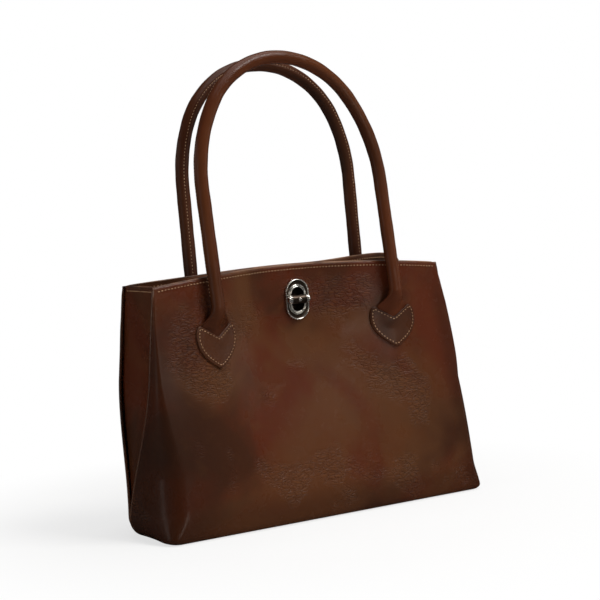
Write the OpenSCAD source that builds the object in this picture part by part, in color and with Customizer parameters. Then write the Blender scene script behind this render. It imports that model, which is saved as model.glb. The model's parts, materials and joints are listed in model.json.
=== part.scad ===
// Leather top handle bag with two rolled handles, heart tabs and a turn lock.
// Millimetres. X is the width, -Y the front, +Z up.
// The origin is the centre of the base, on the surface that the bag stands on.

/* [Body] */
// Width of the bag at its base
body_w = 360; // [300:5:420]
// Depth of the bag at its base
body_d = 125; // [100:5:150]
// Height of the top corners above the floor
body_h = 227; // [200:1:260]
// Width between the top corners
top_w = 314; // [260:2:340]
// How far the top edges rise at their middle
arch_rise = 9; // [4:1:14]
// How far each wall swells at mid height
wall_swell = 5; // [2:0.5:8]

/* [Mouth] */
// Distance of the front top corners in front of the middle
mouth_front = 33; // [28:1:40]
// Distance of the back top corners behind the middle
mouth_back = 28; // [26:1:36]
// Distance of the front panel in front of the middle where the lock holds it
lock_front = 20; // [18:1:22]
// Clear gap between the two facings at the lock
lock_gap = 8; // [7:0.5:9]

/* [Leather and lining] */
// Thickness of the body leather
leather_t = 2.2; // [1.8:0.1:2.6]
// Thickness of the facing that backs the top edges
facing_t = 1.3; // [1:0.1:1.6]
// Height of the facing
facing_h = 54; // [52:1:60]
// Thickness of the lining
lining_t = 0.8; // [0.6:0.1:1.2]
// Thickness of the base leather
base_t = 2.4; // [2:0.1:3]
// Thickness of the board inside the base
board_t = 2; // [1.5:0.1:3]
// Rounding of the lower edge
foot_round = 6; // [4:0.5:8]
// Radius of the rounded lower edge at the two short sides
side_round = 20; // [8:1:24]
// Gap left between two pieces that lie on each other
lay_gap = 0.3; // [0.25:0.05:0.4]

/* [Side gussets] */
// Depth of the rounded corner between the front wall and the side
corner_d = 44; // [36:1:52]
// Half width of the gusset between its seams, high up
gusset_half = 30; // [24:1:32]
// Height at which the two seams meet
gusset_foot_z = 10; // [8:1:16]
// Height above which the seams run straight up
gusset_wide_z = 140; // [110:5:160]
// How much deeper its middle folds inward
gusset_fold = 9; // [5:0.5:12]

/* [Handles] */
// Half of the distance between the two limbs of the front handle
front_half = 98; // [90:1:104]
// Half of the distance between the two limbs of the rear handle
rear_half = 93; // [90:1:104]
// Depth of the point where a limb leaves its tab, below the top corners of the walls
handle_drop = 34; // [31:1:39]
// Rise of the front handle from that point to the top of its middle line
front_rise = 241; // [230:1:260]
// Rise of the rear handle
rear_rise = 235; // [230:1:260]
// Radius of the bend over the top
handle_top_r = 88; // [80:1:90]
// Radius of the bends at the shoulders
handle_side_r = 150; // [140:5:200]
// Radius of the rolled tube
handle_r = 6.3; // [5.5:0.1:7]
// Thickness of the rolled leather
handle_leather_t = 1.7; // [1.4:0.1:2]
// Lean of the front handle towards the rear, in degrees
front_lean_angle = 8.7; // [6:0.1:9]
// Lean of the rear handle away from the front, in degrees
rear_lean_angle = 3.9; // [0:0.1:5]
// Clear space between a limb and the wall behind it
handle_stand = 4.2; // [3.8:0.1:5]

/* [Heart tabs] */
// Width of a tab
tab_w = 45; // [40:1:50]
// Height from the bottom of the notch down to the tip
tab_tip = 29; // [25:1:34]
// Height from the bottom of the notch up to the top of each lobe
tab_lobe = 11; // [9:0.5:14]
// Depth of the bottom of the notch below the top corners of the walls
tab_drop = 49; // [45:1:57]
// Thickness of a tab
tab_t = 1.9; // [1.6:0.1:2.4]
// Thickness of the skived end of a handle under its tab
foot_t = 0.9; // [0.7:0.1:1.1]

/* [Turn lock] */
// Depth of the middle of the lock below the top corners of the walls
lock_drop = 24; // [22:1:29]
// Width of the eyelet plate
plate_w = 25.5; // [24.5:0.5:28]
// Height of the eyelet plate
plate_h = 38.5; // [37.5:0.5:42]
// How far the rim of the plate stands off the leather
plate_t = 3; // [2.6:0.1:4]
// Width of the collar that passes through the eyelet
collar_w = 16.6; // [15:0.2:17]
// Height of the collar
collar_h = 25.6; // [24.6:0.2:26]
// Wall of the collar
collar_wall = 1.5; // [1.2:0.1:2]
// Width of the grip of the knob
knob_d = 8.6; // [7.5:0.1:9.5]
// Length of the grip of the knob
knob_l = 24.4; // [22:0.2:24.6]
// Diameter of the spindle
spindle_d = 3; // [2.6:0.1:3.4]
// Radial clearance of the spindle in its bore
spindle_gap = 0.05; // [0.03:0.01:0.1]

/* [Hidden] */

overrun = 1;
FRONT = -1;
BACK = 1;
LEFT = -1;
RIGHT = 1;

leather_colour = [0.33, 0.17, 0.10];
facing_colour = [0.38, 0.20, 0.12];
handle_colour = [0.42, 0.22, 0.13];
tab_colour = [0.36, 0.18, 0.11];
lining_colour = [0.55, 0.42, 0.30];
board_colour = [0.60, 0.55, 0.45];
core_colour = [0.80, 0.74, 0.60];
metal_colour = [0.78, 0.78, 0.76];
steel_colour = [0.55, 0.56, 0.58];

// Heights of the lock, of the folds of the handles and of the notches of the tabs
lock_z = body_h - lock_drop;
handle_foot_z = body_h - handle_drop;
tab_notch_z = body_h - tab_drop;

// Shares of the body's height and width that the walls' shapes follow
lock_flat_margin = 8;
lock_flat_share = 0.15;
pull_end_share = (lock_z - plate_h / 2 - lock_flat_margin) / (body_h + arch_rise);
pull_start_share = 0.04;
tuck_front_share = 0.05;
tuck_back_share = 0.66;
tuck_start_share = 0.36;
tuck_full_share = 0.92;
tuck_fade_share = 0.4;
tuck_end_share = 0.64;
pull_ease_share = 0.6;
corner_grow_share = 0.13;
corner_low_share = 0.45;
corner_aspect_share = 0.6;
corner_tight_share = 0.7;
swell_flat_power = 4;
front_bell_power = 4;
back_bell_inner_power = 4;
back_bell_outer_power = 1.6;
seam_ease_share = 0.75;

// Grid counts of the sheets
wall_rows = 12;
hold_rows = 4;
wall_cols = 28;
round_rows = 3;
side_cols = 2;
arc_cols = 4;
strip_rows = 3;
lining_rows = 11;
lining_cols = 20;
gusset_cols = 8;
tab_cols = 18;
tab_rows = 5;
neck_cols = 14;
neck_rows = 8;
tube_sides = 12;
core_sides = 8;
shoulder_steps = 5;
top_steps = 16;
end_angles = [75, 50, 25];
core_fit_share = 0.93;

// Depths of the layers under the outer face of the body leather
facing_in = leather_t + lay_gap;
facing_out = facing_in + facing_t;
lining_in = leather_t + 4 * lay_gap;
corner_min = leather_t + lay_gap;
seam_lip = lay_gap;
stack_t = facing_out;
gusset_inset = leather_t + 1.5 * lay_gap;
gusset_leather_share = 0.7;
gusset_leather_t = leather_t * gusset_leather_share;
gusset_margin = 3;

function mix(a, b, t) = a + (b - a) * t;
function clamp(t) = min(max(t, 0), 1);
function ease(t) = let (c = clamp(t)) c * c * (3 - 2 * c);

// Half width of the bag at a share t of its height
function half_w(t) = mix(body_w, top_w, t) / 2;
// Middle line between the two seams of a gusset
function seam_mid(t) = mix(0, (mouth_back - mouth_front) / 2, t);
// Wall position at the corners, as a distance from the middle plane
function corner_y(face, t) = mix(body_d / 2, face == FRONT ? mouth_front : mouth_back, t);
// How far a wall has come to where the lock holds it, and how much of that shows at
// the share u of its half width. Both stay whole round the lock, where a wall is flat.
function pulled(t) =
    let (s = (t - pull_start_share) / (pull_end_share - pull_start_share))
    mix(clamp(s), ease(s), pull_ease_share);
function bell(face, u) =
    let (off = max(0, abs(u) - lock_flat_share) / (1 - lock_flat_share))
    face == FRONT ? pow(1 - off * off, front_bell_power)
                  : pow(1 - pow(off, back_bell_inner_power), back_bell_outer_power);
// The wall's place at its middle
function centre_y(face, t) =
    let (held = face == FRONT ? lock_front : 2 * stack_t + lock_gap - lock_front)
    mix(body_d / 2, held, pulled(t));
function swell(face, u, t) =
    wall_swell * sin(180 * clamp(t)) * (1 - pow(abs(u), swell_flat_power)) * (1 - bell(face, u) * pulled(t));

// Distance from the middle of a seam to the seam itself, at height share t
function seam_half(t) =
    let (s = (t * body_h - gusset_foot_z) / (gusset_wide_z - gusset_foot_z))
    lay_gap + gusset_half * mix(clamp(s), ease(s), seam_ease_share);

// Depth (along Y) and reach (along X) of the rounded corner at height share t
function corner_depth(face, t) =
    let (low = mix(corner_low_share, 1, ease(t / corner_grow_share)) * corner_d,
         room = corner_y(face, t) + face * -seam_mid(t) - seam_half(t) - seam_lip)
    max(min(low, room), corner_min);
function corner_reach(face, t) =
    let (deep = corner_depth(face, t), tight = mix(corner_tight_share, 1, ease(2 * deep / corner_d)))
    max(corner_aspect_share * tight * deep, corner_min);

// How far the lower edge is drawn in at height z above the base leather
function foot_draw(z) = z >= foot_round ? 0 : foot_round - sqrt(pow(foot_round, 2) - pow(foot_round - z, 2));

// Y of the outer face of a wall at the share u of its half width and t of its height
function wall_y(face, u, t) =
    let (away = mix(corner_y(face, t), centre_y(face, t), bell(face, u)) + swell(face, u, t))
    face * (away - foot_draw(t * body_h - base_t));
function run_half(face, t) = half_w(t) - corner_reach(face, t);
function arched(u, t) = t * (body_h + arch_rise * (1 - u * u));

// Y of the outer face of a wall above the floor point x, z
function skin_y(face, x, z) =
    let (t0 = z / body_h,
         u0 = x / run_half(face, t0),
         t = z / (body_h + arch_rise * (1 - u0 * u0)),
         u = x / run_half(face, t))
    wall_y(face, u, t);

// Rows of height shares: the rounded lower edge first, then steps up to where the lock
// holds the wall, then steps up to the top edge
foot_top_share = (base_t + foot_round) / body_h;
low_shares = [for (i = [0:round_rows]) (base_t + foot_round * (1 - cos(90 * i / round_rows))) / body_h];
high_shares = [for (i = [1:wall_rows]) mix(foot_top_share, pull_end_share, i / wall_rows)];
hold_shares = [for (i = [1:hold_rows]) mix(pull_end_share, 1, i / hold_rows)];
wall_shares = concat(low_shares, high_shares, hold_shares);

// One level of a wall from seam to seam, seen from outside left to right, d inside its outer face
function wall_level(face, t, d) =
    let (h = half_w(t) - foot_draw(t * body_h - base_t),
         deep = corner_depth(face, t),
         reach = corner_reach(face, t),
         run = h - reach,
         edge = corner_y(face, t) - foot_draw(t * body_h - base_t),
         seam = seam_half(t) + face * seam_mid(t) + lay_gap / 2,
         bend = edge - deep,
         half = concat(
             [for (i = [0:side_cols - 1]) [h - d, mix(seam, bend, i / side_cols)]],
             [for (i = [0:arc_cols - 1]) let (a = 90 * i / arc_cols)
                 [run + (reach - d) * cos(a), bend + (deep - d) * sin(a)]]))
    concat(
        [for (p = half) [face * p.x, face * p.y, t * body_h]],
        [for (j = [0:wall_cols]) let (u = 1 - 2 * j / wall_cols)
            [face * u * run, wall_y(face, u, t) - face * d, arched(u, t)]],
        [for (j = [len(half) - 1:-1:0]) [-face * half[j].x, face * half[j].y, t * body_h]]);

// The sides are soft. Below the tabs the walls turn inward from the side seams, the rear
// one more than the front one, and the lower edge of each short side has a wide round
// that ends at the corners.
// Every sheet follows this one displacement, so the layers stay apart.
function side_draw(z) =
    z >= side_round ? 0
        : max(0, side_round - sqrt(pow(side_round, 2) - pow(side_round - z, 2)) - foot_draw(z - base_t));
function tucked(p) =
    let (t = p.z / body_h,
         out = half_w(t) * tuck_full_share,
         near = ease((abs(p.x) - out * tuck_start_share) / (out * (1 - tuck_start_share))),
         turn_share = p.y < seam_mid(t) ? tuck_front_share : tuck_back_share,
         fade = 1 - ease((t - tuck_fade_share) / (tuck_end_share - tuck_fade_share)),
         turn = turn_share * fade * max(0, abs(p.y - seam_mid(t)) - seam_half(t)),
         draw = side_draw(max(p.z, base_t)) * (1 - pow(min(1, 2 * p.y / body_d), 2)))
    [p.x - sign(p.x) * near * (turn + draw), p.y, p.z];

// Closed sheet between two grids with the same rows and columns. Seen from the
// outer side, rows run upwards and columns run from left to right.
module sheet(outer, inner) {
    rows = len(outer);
    cols = len(outer[0]);
    top = rows - 1;
    end = cols - 1;
    count = rows * cols;
    points = [for (grid = [outer, inner]) for (row = grid) for (p = row) tucked(p)];
    function at(side, i, j) = side * count + i * cols + j;
    function pair(a, b, c, d) = [[a, b, c], [a, c, d]];
    faces = concat(
        [for (i = [0:rows - 2]) for (j = [0:cols - 2])
            each pair(at(0, i, j), at(0, i + 1, j), at(0, i + 1, j + 1), at(0, i, j + 1))],
        [for (i = [0:rows - 2]) for (j = [0:cols - 2])
            each pair(at(1, i, j), at(1, i, j + 1), at(1, i + 1, j + 1), at(1, i + 1, j))],
        [for (i = [0:rows - 2])
            each pair(at(0, i, 0), at(1, i, 0), at(1, i + 1, 0), at(0, i + 1, 0))],
        [for (i = [0:rows - 2])
            each pair(at(0, i, end), at(0, i + 1, end), at(1, i + 1, end), at(1, i, end))],
        [for (j = [0:cols - 2])
            each pair(at(0, 0, j), at(0, 0, j + 1), at(1, 0, j + 1), at(1, 0, j))],
        [for (j = [0:cols - 2])
            each pair(at(0, top, j), at(1, top, j), at(1, top, j + 1), at(0, top, j + 1))]);
    polyhedron(points, faces);
}

// Body walls

module wall(face) {
    sheet([for (t = wall_shares) wall_level(face, t, 0)],
          [for (t = wall_shares) wall_level(face, t, leather_t)]);
}

// The straight run of a wall at a list of height shares, from depth d0 to d1 inside it
module run_sheet(face, row_shares, d0, d1, cols, reach_share) {
    function grid(d) = [for (t = row_shares)
        [for (j = [0:cols]) let (u = reach_share * (1 - 2 * j / cols))
            [face * u * run_half(face, t), wall_y(face, u, t) - face * d, arched(u, t)]]];
    sheet(grid(d0), grid(d1));
}

module front_panel() {
    color(leather_colour)
    difference() {
        wall(FRONT);
        at_lock() lock_hole();
    }
}

module back_panel() {
    color(leather_colour)
    wall(BACK);
}

// Facing, lining and gusset limits
facing_low_share = 1 - facing_h / body_h;
facing_reach_share = 1 - 2 / wall_cols;
facing_shares = [for (i = [0:strip_rows]) mix(facing_low_share, 1, i / strip_rows)];
lining_top_share = 1 - (facing_h + 2 * lay_gap) / body_h;
floor_z = base_t + board_t + lining_t + 2 * lay_gap;
lining_foot_share = (floor_z + 2 * lay_gap) / body_h;
lining_reach_share = 0.96;
lining_bend_share = min(pull_end_share, lining_top_share);
lining_shares = concat(
    [for (i = [0:lining_rows]) mix(lining_foot_share, lining_bend_share, i / lining_rows)],
    lining_top_share > lining_bend_share ? [lining_top_share] : []);
lining_fold_power = 4;
lining_corner_power = 6;

module front_facing() {
    color(facing_colour)
    difference() {
        run_sheet(FRONT, facing_shares, facing_in, facing_out, wall_cols - 2, facing_reach_share);
        at_lock() lock_hole();
    }
}

module back_facing() {
    color(facing_colour)
    difference() {
        run_sheet(BACK, facing_shares, facing_in, facing_out, wall_cols - 2, facing_reach_share);
        at_lock() rivet_places() rivet_hole();
    }
}

module front_lining() {
    color(lining_colour)
    run_sheet(FRONT, lining_shares, lining_in, lining_in + lining_t, lining_cols, lining_reach_share);
}

module back_lining() {
    color(lining_colour)
    run_sheet(BACK, lining_shares, lining_in, lining_in + lining_t, lining_cols, lining_reach_share);
}

// Gussets

// How far the gusset's face lies inside the half width, at share w across it
function gusset_in(t, w) =
    gusset_inset + gusset_fold * sin(180 * clamp(t)) * (1 - w * w) * clamp(seam_half(t) / gusset_half);
// Half depth of the gusset: it runs under the walls' edges until their faces stop it
function gusset_end(face, t) =
    min(seam_half(t) + gusset_margin, corner_y(face, t) + face * -seam_mid(t) - leather_t - 3 * lay_gap);
function side_level(side, t, d, cols, room) =
    [for (j = [0:cols]) let (
        w = 1 - 2 * j / cols,
        far = side == LEFT ? w : -w,
        reach = far > 0 ? gusset_end(BACK, t) : gusset_end(FRONT, t),
        across = far * (reach - room))
        [side * (half_w(t) - gusset_in(t, across / reach) - d), seam_mid(t) + across, t * body_h]];
module side_sheet(side, t0, t1, d0, d1, rows, room) {
    function grid(d) = [for (i = [0:rows]) side_level(side, mix(t0, t1, i / rows), d, gusset_cols, room)];
    sheet(grid(d0), grid(d1));
}
gusset_low_share = gusset_foot_z / body_h;

module gusset(side) {
    color(leather_colour)
    side_sheet(side, gusset_low_share, 1, 0, gusset_leather_t, wall_rows, 0);
}
module gusset_facing(side) {
    color(facing_colour)
    side_sheet(side, facing_low_share, 1, gusset_leather_t + lay_gap,
               gusset_leather_t + lay_gap + facing_t, strip_rows, facing_t + lay_gap);
}

// Side lining: a folded sheet that spans between the front and back linings
function side_lining_level(side, t, d) =
    [for (j = [0:gusset_cols]) let (
        w = 1 - 2 * j / gusset_cols,
        far = side == LEFT ? w : -w,
        face = far > 0 ? BACK : FRONT,
        end_u = lining_reach_share,
        end_y = abs(wall_y(face, end_u, t)) - lining_in - lining_t - lay_gap,
        x = half_w(t) - gusset_inset - gusset_leather_t - lay_gap - foot_draw(t * body_h - base_t)
            - gusset_fold * sin(180 * t) * (1 - pow(far, lining_fold_power)) - corner_lining_room(t, far) - d)
        [side * x, far * end_y, t * body_h]];
// Drawing in of the side lining where the outer corner is round
function corner_lining_room(t, far) =
    pow(abs(far), lining_corner_power) * corner_aspect_share * corner_depth(FRONT, t);
module side_lining(side) {
    color(lining_colour)
    sheet([for (t = lining_shares) side_lining_level(side, t, 0)],
          [for (t = lining_shares) side_lining_level(side, t, lining_t)]);
}

module left_gusset() { gusset(LEFT); }
module right_gusset() { gusset(RIGHT); }
module left_gusset_facing() { gusset_facing(LEFT); }
module right_gusset_facing() { gusset_facing(RIGHT); }
module left_lining() { side_lining(LEFT); }
module right_lining() { side_lining(RIGHT); }

// Base

// Outline of the bag's foot at height share t, d inside the leather
function foot_outline(t, d) =
    let (front = wall_level(FRONT, t, d), back = wall_level(BACK, t, d))
    [for (row = [front, back]) for (p = row) let (q = tucked([p.x, p.y, base_t])) [q.x, q.y]];
module foot_slab(t, d, z, thick) {
    translate([0, 0, z])
    linear_extrude(thick)
    polygon(foot_outline(t, d));
}

module base_panel() {
    color(leather_colour)
    foot_slab(base_t / body_h, 0, 0, base_t);
}
module base_board() {
    color(board_colour)
    foot_slab(base_t / body_h, leather_t + lay_gap, base_t, board_t);
}
module floor_lining() {
    color(lining_colour)
    foot_slab(base_t / body_h, leather_t + 2 * lay_gap, base_t + board_t + lay_gap, lining_t);
}

// Handles

function half_span(face) = face == FRONT ? front_half : rear_half;
// Where the foot of a handle stands: clear of the wall behind it
function handle_y(face) =
    skin_y(face, half_span(face), handle_foot_z) + face * (handle_r + handle_stand);
function handle_lean(face) = face == FRONT ? -front_lean_angle : -rear_lean_angle;
function handle_rise(face) = face == FRONT ? front_rise : rear_rise;

// The bend is a top arc that runs into a shoulder arc on each side
function shoulder_turn(half) = acos((handle_side_r - half) / (handle_side_r - handle_top_r));
function shoulder_up(half) = (handle_side_r - handle_top_r) * sin(shoulder_turn(half));

// Stations along the middle line in the handle's own plane: x, z and the angle of
// the outward direction, from the left foot over the top to the right foot
function arc_stations(cx, cz, r, from, to, steps) =
    [for (i = [0:steps - 1]) let (a = mix(from, to, i / steps)) [cx + r * cos(a), cz + r * sin(a), a]];
function handle_stations(half, rise) =
    let (top = rise - handle_top_r, low = top - shoulder_up(half), turn = shoulder_turn(half),
         in = handle_side_r - half)
    concat(
        [[-half, 0, 180]],
        arc_stations(in, low, handle_side_r, 180, 180 - turn, shoulder_steps),
        arc_stations(0, top, handle_top_r, 180 - turn, turn, top_steps),
        arc_stations(-in, low, handle_side_r, turn, 0, shoulder_steps),
        [[half, low, 0], [half, 0, 0]]);
// Ring of a tube at a station, moved along the line, with its own radius
function ring(at, along, r, sides) =
    [for (k = [0:sides - 1]) let (f = 360 * k / sides)
        [at.x + along * sin(at.z) + r * cos(f) * cos(at.z), r * sin(f),
         at.y - along * cos(at.z) + r * cos(f) * sin(at.z)]];
// All rings of a tube with round ends
function tube_rings(face, r, sides) =
    let (line = handle_stations(half_span(face), handle_rise(face)), last = line[len(line) - 1])
    concat(
        [for (e = end_angles) ring(line[0], -r * sin(e), r * cos(e), sides)],
        [for (at = line) ring(at, 0, r, sides)],
        [for (i = [len(end_angles) - 1:-1:0]) let (e = end_angles[i])
            ring(last, r * sin(e), r * cos(e), sides)]);
// Faces of the side of a tube whose points start at a given index
function tube_side(rings, sides, start, flip) =
    [for (i = [0:rings - 2]) for (k = [0:sides - 1])
        let (a = start + i * sides + k, b = start + i * sides + (k + 1) % sides, c = b + sides, d = a + sides)
        each flip ? [[a, b, c], [a, c, d]] : [[a, c, b], [a, d, c]]];
module rope(face, r, sides) {
    rings = tube_rings(face, r, sides);
    last = (len(rings) - 1) * sides;
    polyhedron([for (q = rings) each q], concat(
        tube_side(len(rings), sides, 0, false),
        [[for (k = [0:sides - 1]) k]],
        [[for (k = [sides - 1:-1:0]) last + k]]));
}
module rolled_tube(face, outer_r, inner_r, sides) {
    outer = tube_rings(face, outer_r, sides);
    inner = tube_rings(face, inner_r, sides);
    count = len(outer) * sides;
    last = count - sides;
    polyhedron([for (q = concat(outer, inner)) each q], concat(
        tube_side(len(outer), sides, 0, false),
        tube_side(len(inner), sides, count, true),
        [for (k = [0:sides - 1]) let (n = (k + 1) % sides)
            each [[k, n, count + n], [k, count + n, count + k]]],
        [for (k = [0:sides - 1]) let (n = (k + 1) % sides)
            each [[last + k, count + last + n, last + n], [last + k, count + last + k, count + last + n]]]));
}
module at_handle(face) {
    translate([0, handle_y(face), handle_foot_z])
    rotate([handle_lean(face), 0, 0])
    children();
}
module handle_leather(face) {
    color(handle_colour)
    at_handle(face)
    rolled_tube(face, handle_r, handle_r - handle_leather_t, tube_sides);
}
module handle_core(face) {
    color(core_colour)
    at_handle(face)
    rope(face, (handle_r - handle_leather_t) * core_fit_share, core_sides);
}

module front_handle_leather() { handle_leather(FRONT); }
module front_handle_core() { handle_core(FRONT); }
module rear_handle_leather() { handle_leather(BACK); }
module rear_handle_core() { handle_core(BACK); }

// Heart tabs, handle feet and patches: sheets that follow the wall

tab_shoulder_share = 0.77;
tab_side_share = 0.16;
tab_belly_power = 0.44;
tab_end_share = 0.985;
tongue_side_fade = 2;
tongue_side_rate = 2.4;
tongue_low_rate = 3.2;
tongue_low_fade = 0.7;
tongue_under_share = 0.28;
neck_width_share = 0.88;
flare_width_share = 0.87;
neck_reach_share = 0.5;
tab_seat = 0.5;
function tab_round(s) =
    let (q = (s - tab_shoulder_share) / (1 - tab_shoulder_share))
    sqrt(max(0, 1 - q * q));
// Edges of a tab above and below the notch at share s of its half width
function tab_low(s) = -tab_tip * pow(max(0, 1 - abs(s)), tab_belly_power);
function tab_high(s) =
    abs(s) < tab_shoulder_share
        ? tab_lobe * abs(s) / tab_shoulder_share
        : tab_lobe * mix(tab_side_share, 1, tab_round(abs(s)));

// A sheet on the wall, between depth d0 outside and d1 outside of it. Its outline is
// given by its half width and its lower and upper edge at each share s across. The
// depths are functions of the share across, the share up, and the place x, z.
module wall_patch(face, side, half, low, high, d0, d1, cols, rows) {
    function spot(s, v, d) =
        let (x = side * half_span(face) + s * half,
             z = tab_notch_z + mix(low(s), high(s), v))
        [x, skin_y(face, x, z) + face * d(s, v, x, z), z];
    function grid(d) = [for (i = [0:rows]) [for (j = [0:cols])
        spot(face * tab_end_share * (1 - 2 * j / cols), i / rows, d)]];
    sheet(grid(d1), grid(d0));
}

// Under its middle the tab clears the skived tongue; at its edge it lies on the wall
function tab_lift(s, v) =
    tab_seat + (foot_t + lay_gap) * ease(tongue_side_fade - tongue_side_rate * abs(s))
            * ease(tongue_low_rate * v - tongue_low_fade);
module heart_tab(face, side) {
    color(tab_colour)
    wall_patch(face, side, tab_w / 2, function (s) tab_low(s), function (s) tab_high(s),
               function (s, v, x, z) tab_lift(s, v), function (s, v, x, z) tab_lift(s, v) + tab_t,
               tab_cols, tab_rows);
}

// The foot of a handle: a skived tongue under the tab, and a flare that fills the notch,
// where the roll opens flat, and cups the round end of the tube
tongue_half = handle_r;
tongue_under = tab_tip * tongue_under_share;
neck_half = handle_r * neck_width_share;
neck_clear_z = lay_gap * 2;
pivot_up = handle_foot_z - tab_notch_z;
function tongue_low(s) = -tongue_under * (1 - s * s);
flare_half = flare_width_share * tab_shoulder_share * tab_w / 2;
function notch_edge(s) = neck_clear_z + tab_lobe * flare_width_share * abs(s);
function flare_off(s) = ease((abs(s) * flare_half - neck_half) / (flare_half - neck_half));
function flare_top(s) = mix(pivot_up - lay_gap, notch_edge(1) + foot_t, flare_off(s));
function seat_depth(face, side, x, z) =
    let (off = pow(x - side * half_span(face), 2) + pow(z - handle_foot_z, 2))
    face * (handle_y(face) - skin_y(face, x, z)) - sqrt(max(0, pow(handle_r + lay_gap, 2) - off));
function neck_depth(face, side, x, z) =
    let (grow = ease((z - tab_notch_z) / (pivot_up - handle_r)),
         full = handle_stand + handle_r * neck_reach_share)
    max(tab_seat + foot_t, min(mix(foot_t, full, grow), seat_depth(face, side, x, z)));
module handle_foot(face, side) {
    color(handle_colour)
    union() {
        wall_patch(face, side, tongue_half, function (s) tongue_low(s), function (s) tab_lobe / 2,
                   function (s, v, x, z) tab_seat, function (s, v, x, z) tab_seat + foot_t,
                   neck_cols, tab_rows);
        wall_patch(face, side, flare_half, function (s) notch_edge(s), function (s) flare_top(s),
                   function (s, v, x, z) tab_seat,
                   function (s, v, x, z) mix(neck_depth(face, side, x, z), tab_seat + foot_t, flare_off(s)),
                   neck_cols, neck_rows);
    }
}
patch_share = 0.8;
// The patch ends under the lower edge of the facing
patch_top = facing_low_share * body_h - lay_gap - tab_notch_z;
module patch(face, side) {
    color(facing_colour)
    wall_patch(face, side, patch_share * tab_w / 2,
               function (s) min(patch_share * tab_low(s), patch_top - lay_gap), function (s) patch_top,
               function (s, v, x, z) -leather_t - 2 * lay_gap, function (s, v, x, z) -leather_t - lay_gap,
               tab_cols / 2, tab_rows);
}

module front_left_handle_foot() { handle_foot(FRONT, LEFT); }
module front_right_handle_foot() { handle_foot(FRONT, RIGHT); }
module rear_left_handle_foot() { handle_foot(BACK, LEFT); }
module rear_right_handle_foot() { handle_foot(BACK, RIGHT); }
module front_left_heart_tab() { heart_tab(FRONT, LEFT); }
module front_right_heart_tab() { heart_tab(FRONT, RIGHT); }
module rear_left_heart_tab() { heart_tab(BACK, LEFT); }
module rear_right_heart_tab() { heart_tab(BACK, RIGHT); }
module front_left_patch() { patch(FRONT, LEFT); }
module front_right_patch() { patch(FRONT, RIGHT); }
module rear_left_patch() { patch(BACK, LEFT); }
module rear_right_patch() { patch(BACK, RIGHT); }

// Turn lock, in its own frame: z = 0 on the front of the leather, +z towards the user

fine_sides = 96;
bar_sides = 64;
pin_sides = 48;
rivet_sides = 32;
rim_w = 1.5;
flange_t = 1.2;
eyelet_gap = 0.4;
eyelet_wall = 1;
lip_t = 2.4;
leg_w = 4;
leg_t = 1;
leg_clear = 0.3;
leg_foot = 4;
leg_foot_t = 0.5;
backing_t = 0.8;
base_plate_t = 2.4;
base_side = 3.5;
base_end = 5;
recess_d = 8.4;
recess_t = 1.7;
post_d = 6;
knob_clear = 0.4;
knob_t = 4.4;
rib_w = 1.1;
rib_t = 0.35;
rib_shares = [-0.86, -0.68, 0.68, 0.86];
washer_t = 0.5;
retainer_t = 0.7;
retainer_d = 7;
rivet_d = 2;
rivet_head_d = 4;
rivet_head_t = 0.8;
rivet_clear = 0.1;

collar_top = plate_t + knob_clear / 2;
base_back = -stack_t - lock_gap;
base_front = base_back + base_plate_t;
hole_w = collar_w + 2 * (eyelet_gap + eyelet_wall + leg_clear);
hole_h = plate_h - 2 * rim_w;
leg_far = hole_h / 2 - leg_clear;
leg_low = -stack_t - backing_t - lay_gap - leg_foot_t;
eyelet_w = collar_w + 2 * eyelet_gap;
eyelet_h = collar_h + 2 * eyelet_gap;
base_plate_w = collar_w + 2 * base_side;
base_plate_h = collar_h + 2 * base_end;
rivet_z = collar_h / 2 + rivet_head_d / 2 + leg_clear;

module at_lock() {
    translate([0, -lock_front, lock_z])
    rotate([90, 0, 0])
    children();
}
// Outline with straight sides and round ends, long along local Y
module oval(w, h) {
    for (end = [-1, 1])
        translate([0, end * (h - w) / 2])
        circle(d = w, $fn = bar_sides);
    square([w, h - w], center = true);
}
module oval_ring(w, h, wall) {
    difference() {
        oval(w, h);
        oval(w - 2 * wall, h - 2 * wall);
    }
}
module lock_hole() {
    translate([0, 0, -2 * stack_t])
    linear_extrude(4 * stack_t)
    oval(hole_w, hole_h);
}

module lock_eyelet_plate() {
    color(metal_colour)
    at_lock() {
        linear_extrude(flange_t)
        difference() {
            oval(plate_w, plate_h);
            oval(eyelet_w, eyelet_h);
        }
        linear_extrude(plate_t) oval_ring(plate_w, plate_h, rim_w);
        translate([0, 0, -stack_t - backing_t])
        linear_extrude(stack_t + backing_t + lip_t)
        oval_ring(eyelet_w + 2 * eyelet_wall, eyelet_h + 2 * eyelet_wall, eyelet_wall);
        for (turn = [0, 180])
            rotate([0, 0, turn])
            translate([-leg_w / 2, leg_far - leg_t, 0]) {
                translate([0, 0, leg_low]) cube([leg_w, leg_t, flange_t - leg_low]);
                translate([0, 0, leg_low]) cube([leg_w, leg_foot, leg_foot_t]);
            }
    }
}

module lock_backing_plate() {
    color(steel_colour)
    at_lock()
    translate([0, 0, -stack_t - backing_t])
    linear_extrude(backing_t - lay_gap / 2)
    difference() {
        oval(plate_w + 2 * rim_w, plate_h + 2 * leg_t + 2 * rim_w);
        oval(eyelet_w + 2 * eyelet_wall + leg_clear, eyelet_h + 2 * eyelet_wall + leg_clear);
        for (end = [-1, 1])
            translate([0, end * (leg_far - leg_t / 2)])
            square([leg_w + 2 * leg_clear, leg_t + 2 * leg_clear], center = true);
    }
}

module rivet_places() {
    for (end = [-1, 1])
        translate([0, end * rivet_z, 0])
        children();
}
module rivet_hole() {
    translate([0, 0, base_back - 2 * stack_t])
    cylinder(d = rivet_d + 2 * rivet_clear, h = 2 * stack_t + base_plate_t + overrun, $fn = rivet_sides);
}

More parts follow.
